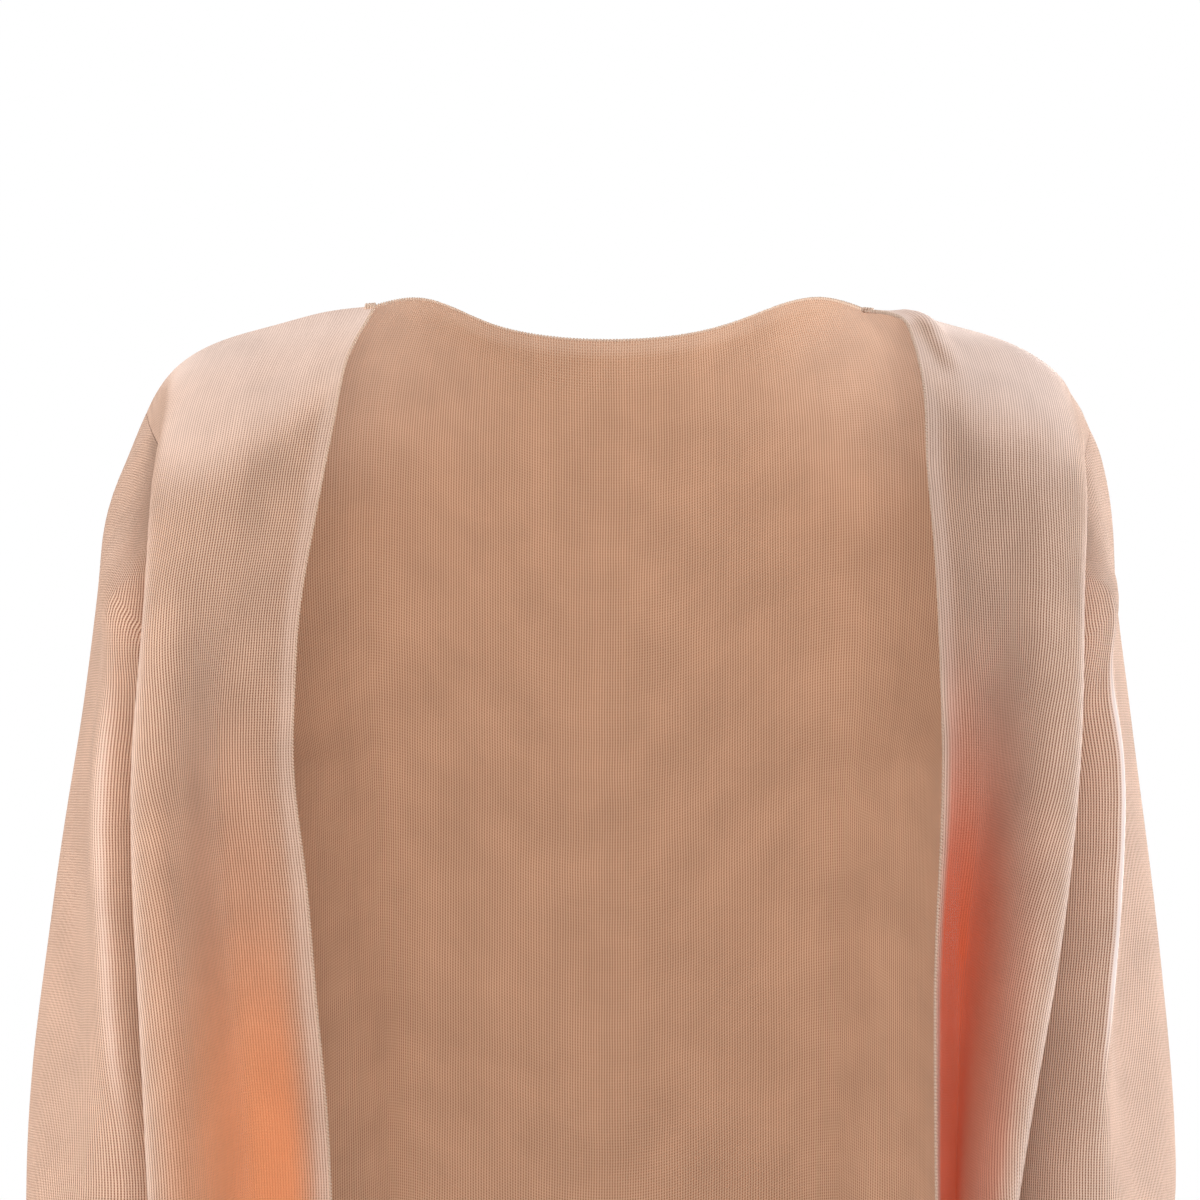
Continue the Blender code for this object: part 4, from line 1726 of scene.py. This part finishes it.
@dataclass(frozen=True)
class Chain:
    """The links of a chain, as sizes in metres.

    Attributes:
        pitch: the distance from link to link.
        long: a link's length.
        wide: its width in the cloth's plane.
        thick: its width through the cloth.
        tilt: how far it turns from the line, in radians.
        spread: how unevenly the links turn, in radians.
        seed: the random numbers' seed.
    """

    pitch: float
    long: float
    wide: float
    thick: float
    tilt: float = 0.55
    spread: float = 0.12
    seed: int = 3

    @staticmethod
    def links() -> bpy.types.NodeTree:
        """Build the group that strings links along a line.

        Returns:
            Its tree, with an input for each size, the seed and the yarn.
        """
        sizes = ("Pitch", "Length", "Width", "Thickness", "Tilt", "Spread")
        inputs = {"Line": "Geometry", **dict.fromkeys(sizes, "Float")}
        inputs |= {"Seed": "Int", "Yarn": "Material"}
        tree, given, result = new_group(
            "yarn chain", "GeometryNodeTree", inputs, {"Chain": "Geometry"}
        )
        curve = tree.add("GeometryNodeMeshToCurve", Mesh=given["Line"])
        steps = tree.add("GeometryNodeResampleCurve", {"mode": "LENGTH"}, Curve=curve)
        tree.settle(steps, Length=given["Pitch"])
        ball = tree.add("GeometryNodeMeshUVSphere", Radius=0.5)
        tree.settle(ball, Segments=LINK_SEGMENTS, Rings=LINK_RINGS)
        size = tree.add("ShaderNodeCombineXYZ", X=given["Length"], Y=given["Width"])
        tree.settle(size, Z=given["Thickness"])
        link = tree.add("GeometryNodeTransform", Geometry=ball, Scale=size)
        tangent = tree.add("GeometryNodeInputTangent")
        facing = tree.add(
            "GeometryNodeInputNamedAttribute", {"data_type": "FLOAT_VECTOR"}, Name=FACING
        )
        align = "FunctionNodeAlignRotationToVector"
        along = tree.add(align, {"axis": "X"}, Vector=tangent)
        upright = tree.add(align, {"axis": "Z", "pivot_axis": "X"}, Rotation=along, Vector=facing)
        uneven = tree.add("FunctionNodeRandomValue", {"data_type": "FLOAT"}, Seed=given["Seed"])
        low, high = [socket for socket in uneven.inputs if socket.type == "VALUE"][:2]
        tree.feed(low, tree.math("SUBTRACT", given["Tilt"], given["Spread"]))
        tree.feed(high, tree.math("ADD", given["Tilt"], given["Spread"]))
        drawn = next(socket for socket in uneven.outputs if socket.type == "VALUE")
        angles = tree.add("ShaderNodeCombineXYZ", Z=drawn)
        turn = tree.add("FunctionNodeEulerToRotation", Euler=angles)
        tilted = tree.add("FunctionNodeRotateRotation", {"rotation_space": "LOCAL"})
        tree.settle(tilted, Rotation=upright, Rotate_By=turn)
        strung = tree.add("GeometryNodeInstanceOnPoints", Points=steps, Instance=link)
        tree.settle(strung, Rotation=tilted)
        real = tree.add("GeometryNodeRealizeInstances", Geometry=strung)
        soft = tree.add("GeometryNodeSetShadeSmooth", Geometry=real)
        dressed = tree.add("GeometryNodeSetMaterial", Geometry=soft, Material=given["Yarn"])
        tree.settle(result, Chain=dressed)
        return tree.nodes

    def string(self, line: YarnLine, thread: Thread) -> bpy.types.Object:
        """String links along a line.

        Args:
            line: the line.
            thread: the links' yarn and group.

        Returns:
            The chain's object.
        """
        count = len(line.points)
        edges = [(i, i + 1) for i in range(count - 1)]
        if line.closed:
            edges.append((count - 1, 0))
        mesh = bpy.data.meshes.new(line.name)
        mesh.from_pydata(line.points * MM, edges, [])
        layer = mesh.attributes.new(FACING, "FLOAT_VECTOR", "POINT")
        layer.data.foreach_set("vector", line.facing.astype(np.float32).ravel())
        chain = put_in_scene(line.name, mesh)
        modifier = chain.modifiers.new("chain", "NODES")
        modifier.node_group = thread.links
        values = {
            "Pitch": self.pitch,
            "Length": self.long,
            "Width": self.wide,
            "Thickness": self.thick,
            "Tilt": self.tilt,
            "Spread": self.spread,
            "Seed": self.seed,
            "Yarn": thread.yarn,
        }
        for item in thread.links.interface.items_tree:
            if item.in_out == "INPUT" and item.name in values:
                modifier[item.identifier] = values[item.name]
        return plain_copy(chain)


@dataclass
class Trim:
    """The chains along the finished edges and inside the seams.

    Attributes:
        bolero: the cut pieces and their seams.
        pale: the thread of the edges and knots.
        dark: the thread of the seams.
        edge: the links along the free edges, the neck, the hem and the cuffs.
        join: the links inside the seams.
        tack: the links of the small knots at the neck ends of the shoulder seams.
        edge_out: how far the edge's links stand off the cloth's rim.
        join_in: how far the seams' links lie inside the cloth.
        tack_long: the knots' length along the shoulder seam.
        tack_wide: their width across it.
        tack_turns: how often their yarn crosses the seam.
        tack_start: the share of their length that lies before the seam's end.
        tack_steps: the steps of each crossing.
        tack_lift: how far their yarn lies over the cloth's face.
        made: the chains of each piece of cloth.
    """

    bolero: Bolero
    pale: Thread
    dark: Thread
    edge: Chain = Chain(pitch=0.00150, long=0.0024, wide=0.00115, thick=0.0017)
    join: Chain = Chain(pitch=0.00160, long=0.0024, wide=0.0015, thick=0.0011, seed=5)
    tack: Chain = Chain(pitch=0.00090, long=0.0016, wide=0.0009, thick=0.0010, seed=8)
    edge_out: float = 0.35
    join_in: float = 0.55
    tack_long: float = 4.2
    tack_wide: float = 3.6
    tack_turns: int = 7
    tack_start: float = 0.15
    tack_steps: int = 6
    tack_lift: float = 0.3
    made: dict[str, list[bpy.types.Object]] = field(default_factory=dict)

    def add(self, chain: Chain, line: YarnLine, thread: Thread) -> None:
        """String a chain and note which piece of cloth it goes with.

        Args:
            chain: the chain's links.
            line: the line that they follow.
            thread: their yarn and group.
        """
        strung = chain.string(line, thread)
        self.made.setdefault(line.owner, []).append(strung)
        logger.info("%s: %d faces", strung.name, len(strung.data.polygons))

    def sew(self) -> None:
        """String all chains."""
        for piece in self.bolero.pieces.values():
            for line in self.edges(piece):
                self.add(self.edge, line, self.pale)
        for seam in self.bolero.seams:
            inside = seam.points - self.join_in * seam.facing
            self.add(self.join, replace(seam, points=inside), self.dark)
        for seam in self.bolero.seams:
            if seam.name.startswith("shoulder"):
                self.add(self.tack, self.knot(seam), self.pale)

    def edges(self, piece: KnitPiece) -> list[YarnLine]:
        """Draw the lines just off a piece's edges, where they aren't sewn.

        Args:
            piece: the piece of cloth.

        Returns:
            The lines: a cuff, neck and hem, or a front's free edge with its hem.
        """
        outward = piece.outward()
        down = np.gradient(piece.grid, axis=0)
        low = piece.grid[-1] + self.edge_out * unit(down[-1])
        if piece.closed:
            lines = [("cuff", low, outward[-1])]
        elif piece.name == "back":
            count = sum(FRONT_STEPS)
            neck = slice(count, piece.grid.shape[1] - count)
            above = piece.grid[0, neck] - self.edge_out * unit(down[0, neck])
            lines = [("neck", above, outward[0, neck]), ("hem", low, outward[-1])]
        else:
            across = unit(piece.grid[:, 0] - piece.grid[:, 1])
            free = piece.grid[:, 0] + self.edge_out * across
            facing = np.concatenate([outward[:-1, 0], outward[-1]])
            lines = [("edge", np.concatenate([free[:-1], low]), facing)]
        return [
            YarnLine(f"{kind}_{piece.name}", piece.name, points, facing, piece.closed)
            for kind, points, facing in lines
        ]

    def knot(self, seam: YarnLine) -> YarnLine:
        """Draw the small knot at the neck end of a shoulder seam.

        Args:
            seam: the shoulder seam.

        Returns:
            The line that crosses the seam's end from side to side.
        """
        along = unit(seam.points[1] - seam.points[0])
        up = seam.facing[0]
        over = unit(np.cross(up, along))
        points = []
        for turn in range(self.tack_turns + 1):
            share = turn / self.tack_turns
            hand = 1 if turn % 2 else -1
            points.append(
                seam.points[0]
                + along * self.tack_long * (share - self.tack_start)
                + over * hand * self.tack_wide / 2
                + up * (WALL / 2 + self.tack_lift)
            )
        line = through(points, [self.tack_steps] * self.tack_turns)
        facing = np.repeat(up[None, :], len(line), axis=0)
        name = seam.name.replace("shoulder_seam", "neck_tack")
        return YarnLine(name, seam.owner, line, facing)


class Softbox(NamedTuple):
    """A soft light.

    Attributes:
        name: its name.
        place: where it stands.
        size: its diameter.
        colour: its colour.
        power: its power.
        side: the only side whose pieces it reaches, if not both.
    """

    name: str
    place: tuple[float, float, float]
    size: float
    colour: tuple[float, float, float]
    power: float
    side: Side | None = None


@dataclass
class Studio:
    """A pale floor, soft lights, a white surround and the camera.

    Attributes:
        floor_up: the floor's height.
        floor_size: the floor's width.
        floor_colour: its colour.
        floor_roughness: its roughness.
        aim: the point that the lights face.
        camera: the camera's place, level with what it looks at.
        frame_wide: how much the camera sees across, at the shoulder seams.
        sensor: the width of its sensor, in millimetres.
        surround: the light from all around.
        lights: the soft lights.
    """

    floor_up: float = -0.62
    floor_size: float = 2.4
    floor_colour: Colour = (0.85, 0.84, 0.83, 1.0)
    floor_roughness: float = 0.8
    aim: tuple[float, float, float] = (0.0, 0.0, -0.22)
    camera: tuple[float, float, float] = (-0.0044, -2.4, -0.132)
    frame_wide: float = 0.528
    sensor: float = 36.0
    surround: tuple[float, float, float] = (0.42, 0.42, 0.42)
    lights: tuple[Softbox, ...] = (
        Softbox("front left", (0.05, -2.4, -0.8), 1.4, (1.0, 0.96, 0.91), 42.0, Side.RIGHT),
        Softbox("front right", (0.3, -2.5, -0.4), 1.4, (0.96, 0.97, 1.0), 28.0, Side.LEFT),
        Softbox("side left", (-2.2, -0.9, 0.0), 1.3, (0.97, 0.99, 1.0), 25.0, Side.RIGHT),
        Softbox("side right", (2.2, -0.9, 0.0), 1.3, (0.64, 0.83, 1.0), 21.0, Side.LEFT),
        Softbox("top", (0.0, 0.7, 1.6), 1.4, (1.0, 0.99, 0.99), 7.0),
        Softbox("rim right", (1.5, 1.2, 0.1), 1.2, (0.94, 0.97, 1.0), 20.0),
        Softbox("rim left", (-1.5, 1.2, 0.1), 1.2, (1.0, 0.98, 0.95), 14.0),
    )

    def build(self, sides: dict[Side, list[bpy.types.Object]]) -> None:
        """Set up the whole studio.

        Args:
            sides: the objects on each side of the wearer.
        """
        self.add_floor()
        self.add_surround()
        groups = {}
        for side, members in sides.items():
            groups[side] = bpy.data.collections.new("lit from the " + side.name.lower())
            for member in members:
                groups[side].objects.link(member)
        for light in self.lights:
            self.add_light(light, groups.get(light.side))
        self.add_camera()
        bpy.context.scene.view_settings.view_transform = "Standard"

    def add_floor(self) -> None:
        """Lay the floor, below what the camera sees."""
        half = self.floor_size / 2
        corners = [(-half, -half), (half, -half), (half, half), (-half, half)]
        mesh = bpy.data.meshes.new("floor")
        mesh.from_pydata([(x, y, self.floor_up) for x, y in corners], [], [(0, 1, 2, 3)])
        material, tree, shader = new_material("pale floor")
        tree.settle(shader, Base_Color=self.floor_colour, Roughness=self.floor_roughness)
        mesh.materials.append(material)
        put_in_scene("floor", mesh)

    def add_surround(self) -> None:
        """Surround the cloth with soft light, white where the camera looks past it."""
        world = bpy.data.worlds.new("studio")
        world.use_nodes = True
        tree = Tree(world.node_tree)
        light = world.node_tree.nodes["Background"]
        tree.settle(light, Color=(*self.surround, 1.0))
        white = tree.add("ShaderNodeBackground", Color=WHITE, Strength=1.0)
        seen = tree.add("ShaderNodeLightPath").outputs["Is Camera Ray"]
        mix = tree.add("ShaderNodeMixShader")
        for socket, value in zip(mix.inputs, (seen, light, white)):
            tree.feed(socket, value)
        tree.settle(world.node_tree.nodes["World Output"], Surface=mix)
        bpy.context.scene.world = world

    def add_light(self, light: Softbox, reached: bpy.types.Collection | None) -> None:
        """Add a soft light that faces the cloth.

        Args:
            light: the soft light.
            reached: the only objects that it lights, if it doesn't light all.
        """
        lamp = bpy.data.lights.new(light.name, "AREA")
        lamp.shape = "DISK"
        lamp.size = light.size
        lamp.color = light.colour
        lamp.energy = light.power
        stand = put_in_scene(light.name, lamp)
        stand.location = light.place
        way = Vector(self.aim) - Vector(light.place)
        stand.rotation_euler = way.to_track_quat("-Z", "Y").to_euler()
        stand.light_linking.receiver_collection = reached

    def add_camera(self) -> None:
        """Add the camera, at the photograph's angle and distance."""
        lens = bpy.data.cameras.new("camera")
        lens.sensor_width = self.sensor
        lens.lens = self.sensor * -self.camera[1] / self.frame_wide
        camera = put_in_scene("camera", lens)
        camera.location = self.camera
        camera.rotation_euler = (math.pi / 2, 0.0, 0.0)
        bpy.context.scene.camera = camera


class Cut(NamedTuple):
    """The flat cut of a piece, in metres and square metres, and what it is sewn to."""

    wide: float
    long: float
    area: float
    sewn_to: tuple[str, ...]


def main() -> None:
    """Cut the bolero, dress it and set up the studio."""
    logging.basicConfig(level=logging.INFO, format="%(message)s")
    # Its deep colour is painted shade between the stitches, its lit colour a painted highlight.
    outside = KnitFinish(
        name="fine knit face",
        group=StitchGroup(Stitch.PLAIN).build(),
        base=(0.93, 0.635, 0.475, 1.0),
        deep=(0.33, 0.12, 0.06, 1.0),
        lit=(0.93, 0.76, 0.69, 1.0),
    )
    # The purl side: the same yarn painted darker as painted shade inside, with less painted glow.
    inside = KnitFinish(
        name="fine knit back",
        group=StitchGroup(Stitch.PURL).build(),
        base=(0.74, 0.47, 0.32, 1.0),
        deep=(0.44, 0.20, 0.11, 1.0),
        lit=(0.84, 0.62, 0.50, 1.0),
        course=0.0013,
        depth=0.00015,
        glow_share=0.35,
        fibre=Fibre(sheen=0.15),
    )
    face, purl = outside.make(), inside.make()
    # Each yarn's second colour is painted shade between its plies.
    pale_yarn = YarnFinish("edge yarn", (0.90, 0.71, 0.57, 1.0), (0.66, 0.43, 0.31, 1.0)).make()
    seam_yarn = YarnFinish("seam yarn", (0.62, 0.38, 0.26, 1.0), (0.42, 0.2, 0.12, 1.0)).make()

    bolero = Bolero()
    bolero.cut()
    links = Chain.links()
    trim = Trim(bolero, Thread(links, pale_yarn), Thread(links, seam_yarn))
    trim.sew()

    sides: dict[Side, list[bpy.types.Object]] = {side: [] for side in Side}
    for piece in bolero.pieces.values():
        cloth = piece.build(face, purl)
        chains = trim.made.get(piece.name, [])
        # The back is lit with the right side only: one side's lights are enough for it.
        side = Side.LEFT if piece.name.endswith("left") else Side.RIGHT
        sides[side] += [cloth, *chains]
        for chain in chains:
            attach(chain, "root")
        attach(cloth, "root")
        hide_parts(piece.name)
        count = len(cloth.data.polygons)
        logger.info("%s: %d faces, with %d chains", piece.name, count, len(chains))
    Studio().build(sides)


if __name__ == "__main__":
    main()
